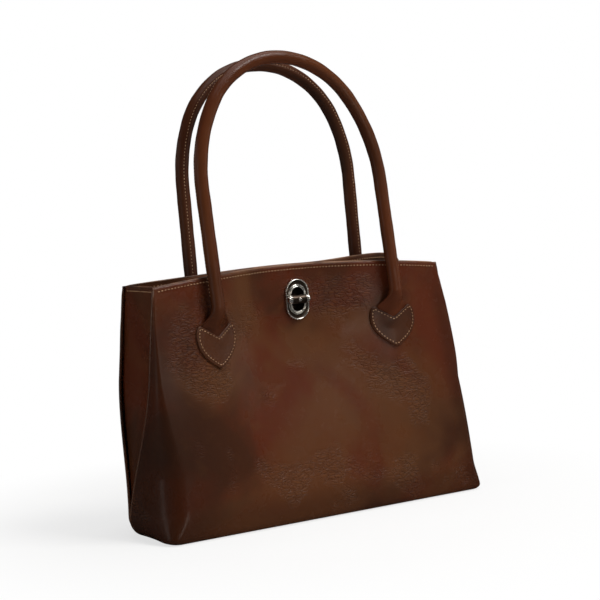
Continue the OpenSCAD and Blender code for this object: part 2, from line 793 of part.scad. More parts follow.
module lock_base() {
    color(metal_colour)
    at_lock()
    difference() {
        union() {
            translate([0, 0, base_back])
            linear_extrude(base_plate_t)
            oval(base_plate_w, base_plate_h);
            translate([0, 0, base_back])
            linear_extrude(collar_top - base_back)
            oval_ring(collar_w, collar_h, collar_wall);
            translate([0, 0, base_back])
            cylinder(d = post_d, h = collar_top - base_back, $fn = pin_sides);
        }
        translate([0, 0, base_back - overrun])
        cylinder(d = spindle_d + 2 * spindle_gap, h = collar_top - base_back + 2 * overrun, $fn = pin_sides);
        translate([0, 0, base_back - overrun])
        cylinder(d = recess_d, h = recess_t + overrun, $fn = pin_sides);
        rivet_places() rivet_hole();
    }
}

// Grip of the knob: a half round bar with round ends and two ribs at each end
module knob_bar(r, l, shift) {
    intersection() {
        translate([shift - l / 2, 0, 0])
        rotate([0, 90, 0])
        cylinder(r = r, h = l, $fn = bar_sides);
        translate([-knob_l / 2, -knob_d, 0]) cube([knob_l, 2 * knob_d, knob_d]);
        cylinder(d = knob_l, h = knob_d, $fn = fine_sides);
    }
}
module lock_knob() {
    color(metal_colour)
    at_lock() {
        translate([0, 0, plate_t + knob_clear]) {
            knob_bar(knob_d / 2, knob_l, 0);
            for (s = rib_shares) knob_bar(knob_d / 2 + rib_t, rib_w, s * knob_l / 2);
        }
        translate([0, 0, base_back + lay_gap])
        cylinder(d = spindle_d, h = plate_t + knob_clear - base_back - lay_gap + knob_d / 4, $fn = pin_sides);
    }
}
module lock_spring_washer() {
    color(steel_colour)
    at_lock()
    translate([0, 0, base_back + recess_t - washer_t - lay_gap / 3])
    difference() {
        cylinder(d = retainer_d, h = washer_t, $fn = pin_sides);
        translate([0, 0, -overrun])
        cylinder(d = spindle_d + 4 * spindle_gap, h = washer_t + 2 * overrun, $fn = pin_sides);
    }
}
module lock_spindle_retainer() {
    color(steel_colour)
    at_lock()
    translate([0, 0, base_back + lay_gap / 2])
    difference() {
        cylinder(d = retainer_d, h = retainer_t, $fn = pin_sides);
        translate([0, 0, -overrun])
        cylinder(d = spindle_d, h = retainer_t + 2 * overrun, $fn = pin_sides);
    }
}
module lock_rivets() {
    color(metal_colour)
    at_lock()
    rivet_places() {
        translate([0, 0, base_back - facing_t])
        cylinder(d = rivet_d, h = base_plate_t + facing_t, $fn = rivet_sides);
        translate([0, 0, base_front]) cylinder(d = rivet_head_d, h = rivet_head_t, $fn = rivet_sides);
    }
}

front_panel();
back_panel();
left_gusset();
right_gusset();
base_panel();
base_board();
front_facing();
back_facing();
left_gusset_facing();
right_gusset_facing();
front_lining();
back_lining();
left_lining();
right_lining();
floor_lining();
front_handle_leather();
front_handle_core();
rear_handle_leather();
rear_handle_core();
front_left_handle_foot();
front_right_handle_foot();
rear_left_handle_foot();
rear_right_handle_foot();
front_left_heart_tab();
front_right_heart_tab();
rear_left_heart_tab();
rear_right_heart_tab();
front_left_patch();
front_right_patch();
rear_left_patch();
rear_right_patch();
lock_eyelet_plate();
lock_backing_plate();
lock_base();
lock_knob();
lock_spring_washer();
lock_spindle_retainer();
lock_rivets();
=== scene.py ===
# %% [markdown]
# # A leather top handle bag
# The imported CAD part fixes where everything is: leather walls, folded side gussets, two rolled
# handles on heart-shaped tabs, and a turn lock. This lesson dresses that part so that it looks
# like polished, hand-finished leather. Each soft solid of the part is exchanged for a finer piece
# that follows the same formulas, and each piece rides on the body that carries it.

# %% Load the fixed frame
import json
import math

import bpy
import numpy as np
from mathutils import Matrix, Vector


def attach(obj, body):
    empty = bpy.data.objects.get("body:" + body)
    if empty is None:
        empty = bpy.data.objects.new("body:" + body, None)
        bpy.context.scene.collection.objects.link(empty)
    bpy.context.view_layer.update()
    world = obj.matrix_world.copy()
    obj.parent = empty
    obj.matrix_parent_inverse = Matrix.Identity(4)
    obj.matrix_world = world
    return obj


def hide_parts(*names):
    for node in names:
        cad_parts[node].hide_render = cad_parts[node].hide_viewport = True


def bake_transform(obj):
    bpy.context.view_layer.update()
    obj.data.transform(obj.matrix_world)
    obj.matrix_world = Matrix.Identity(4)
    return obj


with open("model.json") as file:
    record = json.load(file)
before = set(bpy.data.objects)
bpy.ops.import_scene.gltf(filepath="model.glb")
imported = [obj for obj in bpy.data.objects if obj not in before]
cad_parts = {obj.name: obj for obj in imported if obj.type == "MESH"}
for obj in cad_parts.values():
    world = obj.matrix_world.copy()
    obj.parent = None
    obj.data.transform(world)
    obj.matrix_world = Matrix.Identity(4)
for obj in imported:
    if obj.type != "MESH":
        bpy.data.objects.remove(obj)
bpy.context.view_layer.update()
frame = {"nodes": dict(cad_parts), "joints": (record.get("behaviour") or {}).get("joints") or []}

# %% [markdown]
# ## The camera and the studio
# The picture is taken from the front left, a little above the bag, with a long lens. The camera
# comes first, so that every later step can be judged through it.

# %% Camera
def put_in_scene(name, data):
    obj = bpy.data.objects.new(name, data)
    bpy.context.scene.collection.objects.link(obj)
    return obj


view_azimuth, view_elevation, view_roll = math.radians(-32.03), math.radians(4.19), math.radians(-3.24)
view_distance = 1.5058
view_target = np.array([0.01654, 0.0, 0.20011])

back_dir = np.array([math.sin(view_azimuth) * math.cos(view_elevation),
                     -math.cos(view_azimuth) * math.cos(view_elevation), math.sin(view_elevation)])
level = np.array([math.cos(view_azimuth), math.sin(view_azimuth), 0.0])
upward = np.cross(back_dir, level)
right_dir = level * math.cos(view_roll) + upward * math.sin(view_roll)
up_dir = -level * math.sin(view_roll) + upward * math.cos(view_roll)

camera_data = bpy.data.cameras.new("studio_camera")
camera_data.lens = 93.96
camera_data.sensor_width = 36.0
camera = put_in_scene("studio_camera", camera_data)
spot = view_target + back_dir * view_distance
camera.matrix_world = Matrix(np.stack([right_dir, up_dir, back_dir, spot], 1).tolist() + [[0, 0, 0, 1]])
bpy.context.scene.camera = camera
bpy.context.scene.view_settings.view_transform = "Standard"
print("camera at", np.round(spot, 3))

# %% [markdown]
# ## Sizes of the bag
# These are the sizes of the CAD part in millimetres. Blender works in metres, so meshes are
# multiplied by MM when they are made.

# %% Sizes
MM = 0.001
FRONT, BACK, LEFT, RIGHT = -1, 1, -1, 1
WALL_NAMES, HANDLE_NAMES = {FRONT: "front", BACK: "back"}, {FRONT: "front", BACK: "rear"}
SIDE_NAMES = {LEFT: "left", RIGHT: "right"}
body_w, body_d, body_h, top_w = 360, 125, 227, 314
arch_rise, wall_swell = 9, 5
mouth_front, mouth_back = 33, 28
lock_front, lock_z, lock_gap, plate_h = 20, 203, 8, 38.5
leather_t, facing_t, lining_t, base_t, board_t, lay_gap = 2.2, 1.3, 0.8, 2.4, 2.0, 0.3
facing_h, foot_round, foot_low = 54, 6, 0.2
side_round, corner_d, sharp_corner_d = 20, 44, 20
gusset_half, gusset_foot_z, gusset_wide_z, gusset_fold, gusset_lap = 30, 10, 140, 9, 4
gusset_leather_t = leather_t * 0.7
gusset_inset = leather_t + 1.5 * lay_gap
stack_t = leather_t + lay_gap + facing_t
handle_r, handle_foot_z = 6.3, 193
half_span = {FRONT: 98, BACK: 93}
handle_rise = {FRONT: 241, BACK: 235}
handle_lean = {FRONT: math.radians(8.7), BACK: math.radians(3.9)}
handle_top_r, handle_side_r = 88, 150
tab_w, tab_tip, tab_lobe, tab_notch_z = 45, 29, 11, 178
print("bag", body_w, "x", body_d, "x", body_h, "mm")

# %% [markdown]
# ## The shape of a wall
# A bag's wall is not a plate. It is upright at the corners, and between them the lock pulls it
# towards the middle, so it sags like a sail. Three small formulas do this: how far the corner
# stands out, how far the middle is pulled in, and a bell that spreads the pull across the width.

# %% Easing helpers
def mix(a, b, t):
    return a + (b - a) * t


def ease(t):
    c = np.clip(t, 0, 1)
    return c * c * (3 - 2 * c)


def arch(t):
    """1 halfway up, 0 at the floor and at the top."""
    return np.sin(np.pi * np.clip(t, 0, 1))


def unit(v):
    """The same directions with length 1."""
    return v / np.linalg.norm(v, axis=-1, keepdims=True)


def columns(*parts):
    """Points from their coordinates, one after the other; a single number counts for every point."""
    return np.stack(np.broadcast_arrays(*parts), -1)


def half_w(t):
    return mix(body_w, top_w, t) / 2


def seam_mid(t):
    return mix(0, (mouth_back - mouth_front) / 2, t)


def corner_y(face, t):
    return mix(body_d / 2, mouth_front if face == FRONT else mouth_back, t)


print("half width at the floor and at the top:", half_w(0), half_w(1))

# %% The pull of the lock
lock_flat, lock_margin = 0.15, 8
pull_start, pull_end = 0.04, (lock_z - plate_h / 2 - lock_margin) / (body_h + arch_rise)
soft_reach, soft_steps = 0.034, 9


def pulled(t):
    """How far the middle has come to where the lock holds it, softened over a few centimetres."""
    total = 0
    for shift in np.linspace(-soft_reach, soft_reach, soft_steps):
        s = (np.asarray(t, float) + shift - pull_start) / (pull_end - pull_start)
        total = total + mix(np.clip(s, 0, 1), ease(s), 0.6)
    return total / soft_steps


def bell(face, u):
    """1 where the lock holds the wall, falling to 0 at its corners; the rear one spreads wider."""
    off = np.minimum(np.maximum(0, np.abs(u) - lock_flat) / (1 - lock_flat), 1)
    return (1 - off ** 2) ** 4 if face == FRONT else (1 - off ** 4) ** 1.6


def centre_y(face, t):
    held = lock_front if face == FRONT else 2 * stack_t + lock_gap - lock_front
    return mix(body_d / 2, held, pulled(t))


print("the lock holds the wall from share", round(pull_end, 3), "of its height")

# %% The whole wall
def rounded_in(radius, z):
    """How far a quarter round stands back, at a height above its lowest line."""
    return radius - np.sqrt(radius ** 2 - (radius - np.clip(z, 0, radius)) ** 2)


def foot_in(t):
    """How far the lower edge is rolled under, at a share of the height."""
    return rounded_in(foot_round, t * body_h - foot_low)


def lock_zone(u, t):
    """1 round the lock, where the leather stays flat."""
    return ease((0.34 - np.abs(u)) / 0.17) * ease((t - 0.62) / 0.12)


def hand_waves(face, u, t):
    """The shallow dents that leather keeps from use; none at the lock, the floor or the corners."""
    wave = (0.9 * np.sin(4.1 * u + 1.3 * face + 0.6) * np.sin(5.2 * t + 0.4)
            + 0.5 * np.sin(9.3 * u - 2.0 * t + 2.1 * face) * np.sin(8.5 * t + 1.7))
    return wave * (1 - u ** 6) * ease(t / 0.12) * (1 - lock_zone(u, t))


def wall_y(face, u, t):
    """Y of the outer face, at a share u of the half width and a share t of the height."""
    away = mix(corner_y(face, t), centre_y(face, t), bell(face, u))
    away = away + wall_swell * arch(t) * (1 - np.abs(u) ** 4) * (1 - bell(face, u) * pulled(t))
    return face * (away + hand_waves(face, u, t) - foot_in(t))


def seam_half(t):
    """Half the gap between the two walls at a side, which the gusset fills."""
    s = (t * body_h - gusset_foot_z) / (gusset_wide_z - gusset_foot_z)
    return lay_gap + gusset_half * mix(np.clip(s, 0, 1), ease(s), 0.75)


def corner_depth(face, t, side=LEFT):
    """How far a corner's bend reaches along the side; the front right corner is the sharpest."""
    low = mix(0.45, 1, ease(t / 0.13)) * (sharp_corner_d if (face, side) == (FRONT, RIGHT) else corner_d)
    room = corner_y(face, t) - face * seam_mid(t) - seam_half(t) - lay_gap
    return np.maximum(np.minimum(low, room), leather_t + lay_gap)


def corner_reach(face, t, side=LEFT):
    deep = corner_depth(face, t, side)
    return np.maximum(0.6 * mix(0.7, 1, ease(2 * deep / corner_d)) * deep, leather_t + lay_gap)


def run_half(face, t):
    return half_w(t) - corner_reach(face, t)


print("front wall, middle, from floor to top:",
      [round(float(wall_y(FRONT, 0.0, t)), 1) for t in (0.05, 0.3, 0.6, 0.9)])

# %% Height of a place on the wall
rear_lift = 7.5


def edge_height(face, u, t):
    """Both top edges arch. The rear one has worked itself higher towards its right-hand end."""
    z = t * (body_h + arch_rise * (1 - u ** 2))
    if face == BACK:
        lift = rear_lift * ease((u - 0.1) / 0.7) * (1 - np.clip((u - 0.88) / 0.12, 0, 1) ** 2.2)
        z = z + lift * ease((t - 0.85) / 0.15)
    return z


def side_draw(z):
    """The wide round of the lower edge at the two short sides."""
    return np.maximum(0, rounded_in(side_round, z) - rounded_in(foot_round, z - foot_low))


front_tuck, rear_tuck, corner_puff, side_share = 0.10, 0.66, 6.5, 0.92


def tucked(points):
    """Below the tabs the walls turn inward from the side seams, the rear one most, and the lower
    edge of each short side is drawn in, except at the corners. The front right corner is puffed."""
    p = np.array(points, float)
    x, y, z = p[..., 0], p[..., 1], p[..., 2]
    t = z / body_h
    out = half_w(t) * side_share
    near = ease((np.abs(x) - out * 0.36) / (out * 0.64))
    in_front = y < seam_mid(t)
    past_seam = np.abs(y - seam_mid(t)) - seam_half(t)
    share = np.where(in_front, np.where(x < 0, front_tuck, 0.0), rear_tuck)
    fade = 1 - ease((t - 0.4) / 0.55)
    turn = share * fade * np.maximum(0, past_seam)
    draw = side_draw(np.maximum(z, foot_low)) * (1 - np.clip(np.abs(2 * y / body_d), 0, 1) ** 2)
    corner = past_seam / (corner_y(FRONT, t) + seam_mid(t) - seam_half(t))
    puff = corner_puff * arch(t) * np.clip(corner, 0, 1) * near * (in_front & (x > 0))
    p[..., 0] = x - np.sign(x) * near * (turn + draw - puff)
    return p


def skin(face, x, z):
    """Y of the outer face of a wall at x, z."""
    t0 = z / body_h
    u0 = np.clip(x / run_half(face, t0), -1, 1)
    t = z / (body_h + arch_rise * (1 - u0 ** 2))
    return wall_y(face, np.clip(x / run_half(face, t), -1, 1), t)


def skin_normal(face, x, z):
    step = 0.5
    slope_x = (skin(face, x + step, z) - skin(face, x - step, z)) / (2 * step)
    slope_z = (skin(face, x, z + step) - skin(face, x, z - step)) / (2 * step)
    return unit(face * columns(-slope_x, 1.0, -slope_z))


print("front wall behind a handle:", round(float(skin(FRONT, 98.0, 193.0)), 2))

# %% [markdown]
# ## Making meshes
# Nearly every piece here is a grid of points: rows up, columns across. One helper turns two grids
# into a closed sheet with a thickness, another sweeps a ring of points along a line. Writing the
# meshes this way keeps full control over where each edge lies.

# %% Mesh helpers
def add_mesh(name, points, faces, marks=None):
    """A smooth mesh from points in millimetres; marks gives each face its material slot."""
    mesh = bpy.data.meshes.new(name)
    mesh.from_pydata((np.asarray(points, float) * MM).tolist(), [], [list(map(int, f)) for f in faces])
    mesh.polygons.foreach_set("use_smooth", np.ones(len(mesh.polygons), bool))
    if marks is not None:
        mesh.polygons.foreach_set("material_index", np.asarray(marks, np.int32))
    mesh.update()
    return put_in_scene(name, mesh)


def grid_faces(rows, cols, start, flip=False, wrap=False):
    """The four-sided faces of a grid; with wrap its last column meets the first."""
    i, j = np.meshgrid(np.arange(rows - 1), np.arange(cols if wrap else cols - 1), indexing="ij")
    i, j = i.ravel(), j.ravel()
    n = (j + 1) % cols
    quad = np.stack([i * cols + j, i * cols + n, (i + 1) * cols + n, (i + 1) * cols + j], 1) + start
    return (quad[:, ::-1] if flip else quad).tolist()


def add_sheet(name, outer, inner):
    """A closed sheet between two grids, seen from outside left to right; its rim gets slot 1."""
    outer, inner = tucked(outer), tucked(inner)
    rows, cols = outer.shape[:2]
    count = rows * cols
    points = np.concatenate([outer.reshape(-1, 3), inner.reshape(-1, 3)])
    faces = grid_faces(rows, cols, 0) + grid_faces(rows, cols, count, flip=True)
    marks = [0] * len(faces)
    place = np.arange(count).reshape(rows, cols)
    rim = [*place[0], *place[1:, -1], *place[-1, -2::-1], *place[-2:0:-1, 0]]
    for a, b in zip(rim, rim[1:] + rim[:1]):
        faces.append([b, a, a + count, b + count])
        marks.append(1)
    return add_mesh(name, points, faces, marks)


def add_tube(name, rings, closed=False):
    """A skin over rings of points; the two ends are capped unless the tube is closed."""
    rings = np.asarray(rings)
    count, sides = rings.shape[:2]
    points = rings.reshape(-1, 3)
    faces = grid_faces(count, sides, 0, wrap=True)
    if closed:
        last = (count - 1) * sides
        faces += [[last + k, last + (k + 1) % sides, (k + 1) % sides, k] for k in range(sides)]
    else:
        faces.append(list(range(sides))[::-1])
        faces.append([(count - 1) * sides + k for k in range(sides)])
    return add_mesh(name, points, faces)


def cut_hole(obj, cutter):
    """Take the cutter's shape out of a piece; the new faces get the piece's second material."""
    for polygon in cutter.data.polygons:
        polygon.material_index = 1
    cut = obj.modifiers.new("hole", "BOOLEAN")
    cut.operation, cut.solver, cut.object = "DIFFERENCE", "EXACT", cutter
    bpy.context.view_layer.update()
    whole = obj.data
    obj.data = bpy.data.meshes.new_from_object(obj.evaluated_get(bpy.context.evaluated_depsgraph_get()))
    obj.modifiers.clear()
    bpy.data.meshes.remove(whole)


def ring_of(sides):
    a = np.linspace(0, 2 * np.pi, sides, endpoint=False)
    return np.cos(a), np.sin(a)


print("mesh helpers ready")

# %% Lines on the bag
def line_length(points):
    return np.concatenate([[0], np.cumsum(np.linalg.norm(np.diff(points, axis=0), axis=1))])


def read_at(at, along, values):
    """The values that go with a line, at some distances along it."""
    return np.stack([np.interp(at, along, column) for column in values.T], 1)


def resample(points, pitch, margin=0.0, normals=None):
    """Evenly spaced places along a line, and the normals there if normals are given."""
    along = line_length(points)
    count = max(2, int((along[-1] - 2 * margin) // pitch) + 1)
    at = np.linspace(margin, along[-1] - margin, count)
    places = read_at(at, along, points)
    return places if normals is None else (places, unit(read_at(at, along, normals)))


def tangents(points):
    return unit(np.gradient(points, axis=0))


print("line helpers ready")

# %% [markdown]
# ## Finishes
# Polished leather has four things at once: patches where the dye took more or less, a fine grain
# of cells and pores, a few creases, and a wax that is thicker in some places. Each effect is a
# node group with its own inputs, so that the walls, the tabs and the handles can share it and
# still look like different cuts of hide. Object coordinates place the effects, in metres.

# %% Node helpers
def node(tree, kind, inputs=None, **settings):
    """A shader node. Inputs are named or numbered, each a value or another node's output."""
    n = tree.nodes.new("ShaderNode" + kind)
    for key, value in settings.items():
        setattr(n, key, value)
    for key, value in (inputs or {}).items():
        if isinstance(value, bpy.types.NodeSocket):
            tree.links.new(value, n.inputs[key])
        else:
            n.inputs[key].default_value = value
    return n


def math_node(tree, operation, a, b):
    return node(tree, "Math", {0: a, 1: b}, operation=operation).outputs[0]


def times(tree, a, b):
    return math_node(tree, "MULTIPLY", a, b)


def noise(tree, vector, scale, detail, rough=0.5, distort=0.0, output="Fac"):
    n = node(tree, "TexNoise", {"Vector": vector, "Scale": scale, "Detail": detail, "Roughness": rough,
                                "Distortion": distort})
    return n.outputs[output]


def cell_edges(tree, vector, scale, width):
    """0 on the lines between Voronoi cells, rising to 1 inside the cells."""
    cells = node(tree, "TexVoronoi", {"Vector": vector, "Scale": scale}, feature="DISTANCE_TO_EDGE")
    return ranged(tree, cells.outputs["Distance"], 0.0, width)


def shaken(tree, vector, scale, detail, rough, reach):
    """The place moved a little by a noise, so that patterns lose their straight lines."""
    inputs = {0: noise(tree, vector, scale, detail, rough, output="Color"), 1: (reach,) * 3, 2: vector}
    return node(tree, "VectorMath", inputs, operation="MULTIPLY_ADD").outputs[0]


def ranged(tree, value, low, high, to_low=0.0, to_high=1.0):
    """Ease a value from one range into another, and hold it at both ends."""
    return node(tree, "MapRange", {"Value": value, "From Min": low, "From Max": high, "To Min": to_low,
                                   "To Max": to_high}, interpolation_type="SMOOTHSTEP").outputs[0]


def blend(tree, factor, a, b):
    return node(tree, "Mix", {"Factor": factor, 6: a, 7: b}, data_type="RGBA").outputs[2]


def bump(tree, height, strength, distance, under=None):
    """A bump, on top of an earlier one if under is its normal."""
    inputs = {"Strength": strength, "Distance": distance, "Height": height}
    if under is not None:
        inputs["Normal"] = under
    return node(tree, "Bump", inputs).outputs[0]


def lay_out(tree):
    """Put the nodes in columns, each one to the left of all that it feeds."""
    column = {n.name: 0 for n in tree.nodes}
    for _ in tree.nodes:
        for link in tree.links:
            source = link.from_node.name
            column[source] = max(column[source], column[link.to_node.name] + 1)
    used = {}
    for n in tree.nodes:
        k = column[n.name]
        n.location = (-240 * k, -300 * used.get(k, 0))
        used[k] = used.get(k, 0) + 1


print("node helpers ready")

# %% Group helpers
def new_group(name, inputs, outputs):
    """An empty node group that takes a place and these inputs, with its sockets to read and write."""
    tree = bpy.data.node_groups.new(name, "ShaderNodeTree")
    tree.interface.new_socket("Vector", in_out="INPUT", socket_type="NodeSocketVector")
    for label, value in inputs.items():
        kind = "Color" if isinstance(value, tuple) else "Float"
        socket = tree.interface.new_socket(label, in_out="INPUT", socket_type="NodeSocket" + kind)
        socket.default_value = value
    for label in outputs:
        kind = "Color" if label == "Color" else "Float"
        tree.interface.new_socket(label, in_out="OUTPUT", socket_type="NodeSocket" + kind)
    return tree, tree.nodes.new("NodeGroupInput").outputs, tree.nodes.new("NodeGroupOutput").inputs


def close_group(tree, outs, **results):
    """Send the results out of the group, and lay out its nodes."""
    for label, value in results.items():
        tree.links.new(value, outs[label])
    lay_out(tree)
    print("group:", tree.name)
    return tree


def place_group(tree, group, vector, **values):
    """A group in a material, with its inputs by name and _ for a space; gives its outputs."""
    inputs = {label.replace("_", " "): value for label, value in values.items()}
    return node(tree, "Group", {"Vector": vector} | inputs, node_tree=group).outputs


print("group helpers ready")

# %% Group: dye patches
def make_dye_patches():
    """Where the dye took darker or redder: large clouds, and small flecks inside them."""
    inputs = {"Dark": (0.02, 0.01, 0.006, 1), "Middle": (0.07, 0.02, 0.01, 1),
              "Light": (0.15, 0.05, 0.02, 1), "Cloud Scale": 9.0, "Fleck Scale": 60.0}
    tree, ins, outs = new_group("dye_patches", inputs, ["Color", "Wax"])
    clouds = noise(tree, ins["Vector"], ins["Cloud Scale"], 4, 0.55, 0.4)
    flecks = noise(tree, ins["Vector"], ins["Fleck Scale"], 5, 0.6, 0.2)
    glow = noise(tree, ins["Vector"], times(tree, ins["Cloud Scale"], 0.6), 3, 0.5, 0.8)
    dark = ranged(tree, clouds, 0.38, 0.58)
    small, large = ranged(tree, flecks, 0.5, 0.78, 0.0, 0.4), ranged(tree, glow, 0.44, 0.62, 0.0, 0.75)
    pale = math_node(tree, "MAXIMUM", small, large)
    base = blend(tree, dark, ins["Dark"], ins["Middle"])
    wax = times(tree, dark, ranged(tree, flecks, 0.3, 0.7, 0.6, 1.0))
    return close_group(tree, outs, Color=blend(tree, pale, base, ins["Light"]), Wax=wax)


dye_patches = make_dye_patches()

# %% Group: hide grain
def make_hide_grain():
    """Cells and pores of the hide, as a height for a Bump node."""
    tree, ins, outs = new_group("hide_grain", {"Cell Scale": 900.0, "Pores": 0.5}, ["Height", "Pits"])
    warped = shaken(tree, ins["Vector"], 240.0, 2, 0.5, 0.0016)
    groove = cell_edges(tree, warped, ins["Cell Scale"], 0.16)
    pits = ranged(tree, noise(tree, ins["Vector"], 2600.0, 1), 0.62, 0.74)
    height = math_node(tree, "SUBTRACT", groove, times(tree, pits, ins["Pores"]))
    return close_group(tree, outs, Height=height, Pits=pits)


hide_grain = make_hide_grain()

# %% Group: creases
def make_creases():
    """Bunches of fine wrinkles, where the hide was folded in the hand; Extra makes more of them."""
    tree, ins, outs = new_group(
        "creases", {"Scale": 185.0, "Reach": 0.55, "Extra": 0.0}, ["Height", "Mask", "Ridge"])
    moved = shaken(tree, ins["Vector"], 60.0, 3, 0.6, 0.009)
    mapping = {"Vector": moved, "Scale": (0.8, 0.8, 2.3), "Rotation": (0.0, 0.22, 0.0)}
    squashed = node(tree, "Mapping", mapping).outputs[0]
    groove = times(tree, cell_edges(tree, squashed, ins["Scale"], 0.2), 0.55)
    lines = times(tree, noise(tree, squashed, ins["Scale"], 2, 0.5, 0.6), 0.6)
    both = math_node(tree, "ADD", groove, lines)
    place = noise(tree, ins["Vector"], 16.0, 3, 0.55, 0.3)
    more = math_node(tree, "ADD", place, times(tree, ins["Extra"], 0.3))
    mask = times(tree, ranged(tree, more, 0.55, 0.72), ins["Reach"])
    depth = times(tree, math_node(tree, "SUBTRACT", 1.0, both), mask)
    # The ridge output marks the tops of the wrinkles, which the leather lightens as a painted highlight.
    return close_group(tree, outs, Height=math_node(tree, "SUBTRACT", 1.0, depth), Mask=mask,
                       Ridge=times(tree, ranged(tree, both, 0.72, 0.95), mask))


creases = make_creases()

# %% Group: rubbed edges
def make_rubbed_edges():
    """Convex edges and ridges lose dye first. Pointiness finds them."""
    tree, ins, outs = new_group("rubbed_edges", {"Amount": 0.6}, ["Mask"])
    sharp = ranged(tree, node(tree, "NewGeometry").outputs["Pointiness"], 0.52, 0.62)
    broken = ranged(tree, noise(tree, ins["Vector"], 260.0, 4, 0.6), 0.35, 0.6)
    rubbed = times(tree, sharp, broken)
    return close_group(tree, outs, Mask=times(tree, rubbed, ins["Amount"]))


rubbed_edges = make_rubbed_edges()

# %% [markdown]
# A material keeps its own Principled shader. The groups only feed its colour, roughness and bump.
# Numbers that are the same everywhere, such as the coat, stand on the shader itself.

# %% Material helpers
def stored(tree, name, output="Fac"):
    """A value that the mesh carries for each of its points."""
    return node(tree, "Attribute", attribute_name=name).outputs[output]


def new_material(name, placed_by=None):
    """An empty material, its node tree, and the place on the hide in metres."""
    material = bpy.data.materials.new(name)
    material.use_nodes = True
    tree = material.node_tree
    tree.nodes.clear()
    where = stored(tree, placed_by, "Vector") if placed_by else node(tree, "TexCoord").outputs["Object"]
    return material, tree, where


def close_material(material, inputs):
    """Give a material its Principled shader, with these inputs."""
    tree = material.node_tree
    shader = node(tree, "BsdfPrincipled", inputs)
    node(tree, "OutputMaterial", {0: shader.outputs[0]})
    lay_out(tree)
    return material


print("material helpers ready")

# %% Leather material
# A pale tone for rubbed edges, which is real wear, and for the painted highlight on the tops of wrinkles.
wear_and_highlight_tone = (0.22, 0.09, 0.036, 1)
fine_bump, coarse_bump = 0.0001, 0.0011
# How strong the painted highlight on the tops of wrinkles is, how dark the pores are, and how deep the
# painted shade goes.
ridge_highlight_share, pit_share, shade_strength = 0.2, 0.35, 0.45


def leather(name, dark, middle, light, cloud=9.0, fleck=60.0, cell=900.0, crease=0.5, rough=(0.36, 0.24),
            coat=0.06, gloss=0.13, wear=0.5, placed_by=None, cut_from=(0.0, 0.0, 0.0)):
    """Polished leather. A rolled piece brings its own place on the hide, and cut_from moves the dye."""
    material, tree, where = new_material(name, placed_by)
    on_hide = node(tree, "VectorMath", {0: where, 1: cut_from}, operation="ADD").outputs[0]
    dye = place_group(tree, dye_patches, on_hide, Dark=dark, Middle=middle, Light=light, Cloud_Scale=cloud,
                      Fleck_Scale=fleck)
    grain = place_group(tree, hide_grain, where, Cell_Scale=cell)
    folds = place_group(tree, creases, where, Reach=crease, Extra=stored(tree, "crinkle"))
    rubbed = place_group(tree, rubbed_edges, where, Amount=wear)
    pitted = blend(tree, times(tree, grain["Pits"], pit_share), dye["Color"], dark)
    # Painted shade: where a wall carries its shade values, the colour darkens towards a deeper dark tone.
    shade_painted = blend(tree, stored(tree, "painted_shade"), pitted, tuple(c * shade_strength for c in dark[:3]) + (1,))
    # Painted highlight: the tops of the wrinkles are lightened towards a pale tone, standing in for glints.
    ridge_highlighted = blend(tree, times(tree, folds["Ridge"], ridge_highlight_share), shade_painted, wear_and_highlight_tone)
    duller = times(tree, folds["Mask"], 0.08)
    roughness = math_node(tree, "ADD", ranged(tree, dye["Wax"], 0.0, 1.0, *rough), duller)
    fine = bump(tree, grain["Height"], 0.5, fine_bump)
    return close_material(material, {
        "Base Color": blend(tree, rubbed["Mask"], ridge_highlighted, wear_and_highlight_tone), "Roughness": roughness,
        "Normal": bump(tree, folds["Height"], 0.9, coarse_bump, fine), "Specular IOR Level": gloss,
        "Coat Weight": coat, "Coat Roughness": 0.16, "Coat IOR": 1.45})


# The dye clouds of the walls are shifted by cut_from so that a lighter cloud lies in the middle of the front
# wall and a darker one low on the left: random dye tone, placed as painted sheen in the middle and painted
# shade at the lower left.
body_leather = leather("body_leather", (0.046, 0.0135, 0.0046, 1), (0.080, 0.0163, 0.0054, 1),
                       (0.096, 0.0360, 0.0122, 1), cloud=11.0, crease=0.9, rough=(0.34, 0.25),
                       cut_from=(1.3, 0, 0.3))
waxed_seam = leather("waxed_seam", (0.030, 0.011, 0.005, 1), (0.060, 0.019, 0.008, 1),
                     (0.09, 0.034, 0.015, 1), crease=0.1, rough=(0.22, 0.16), coat=0.5, gloss=0.5, wear=0.2)
rolled_hide = {"cloud": 16.0, "fleck": 110.0, "cell": 1100.0, "crease": 0.3, "placed_by": "roll_place"}
handle_leather = leather("handle_leather", (0.034, 0.0090, 0.0036, 1), (0.079, 0.0198, 0.0074, 1),
                         (0.122, 0.0405, 0.0138, 1), rough=(0.24, 0.15), **rolled_hide)
# The rear handle takes a darker copy of the handle leather: painted shade, for the rear handle stands in
# shadow.
rear_handle_leather = leather("rear_handle_leather", (0.020, 0.0065, 0.0028, 1), (0.058, 0.0150, 0.0052, 1),
                              (0.105, 0.034, 0.012, 1), rough=(0.38, 0.30), **rolled_hide)
tab_leather = leather("tab_leather", (0.036, 0.0120, 0.0054, 1), (0.050, 0.0155, 0.0066, 1),
                      (0.070, 0.0245, 0.0105, 1), cloud=28.0, fleck=90.0, crease=0.2, wear=0.35)
facing_leather = leather("facing_leather", (0.030, 0.012, 0.006, 1), (0.095, 0.030, 0.013, 1),
                         (0.16, 0.060, 0.027, 1), cloud=14.0, crease=0.3, rough=(0.5, 0.42), coat=0.05)
leathers = (body_leather, waxed_seam, handle_leather, rear_handle_leather, tab_leather, facing_leather)
print("leathers:", ", ".join(material.name for material in leathers))

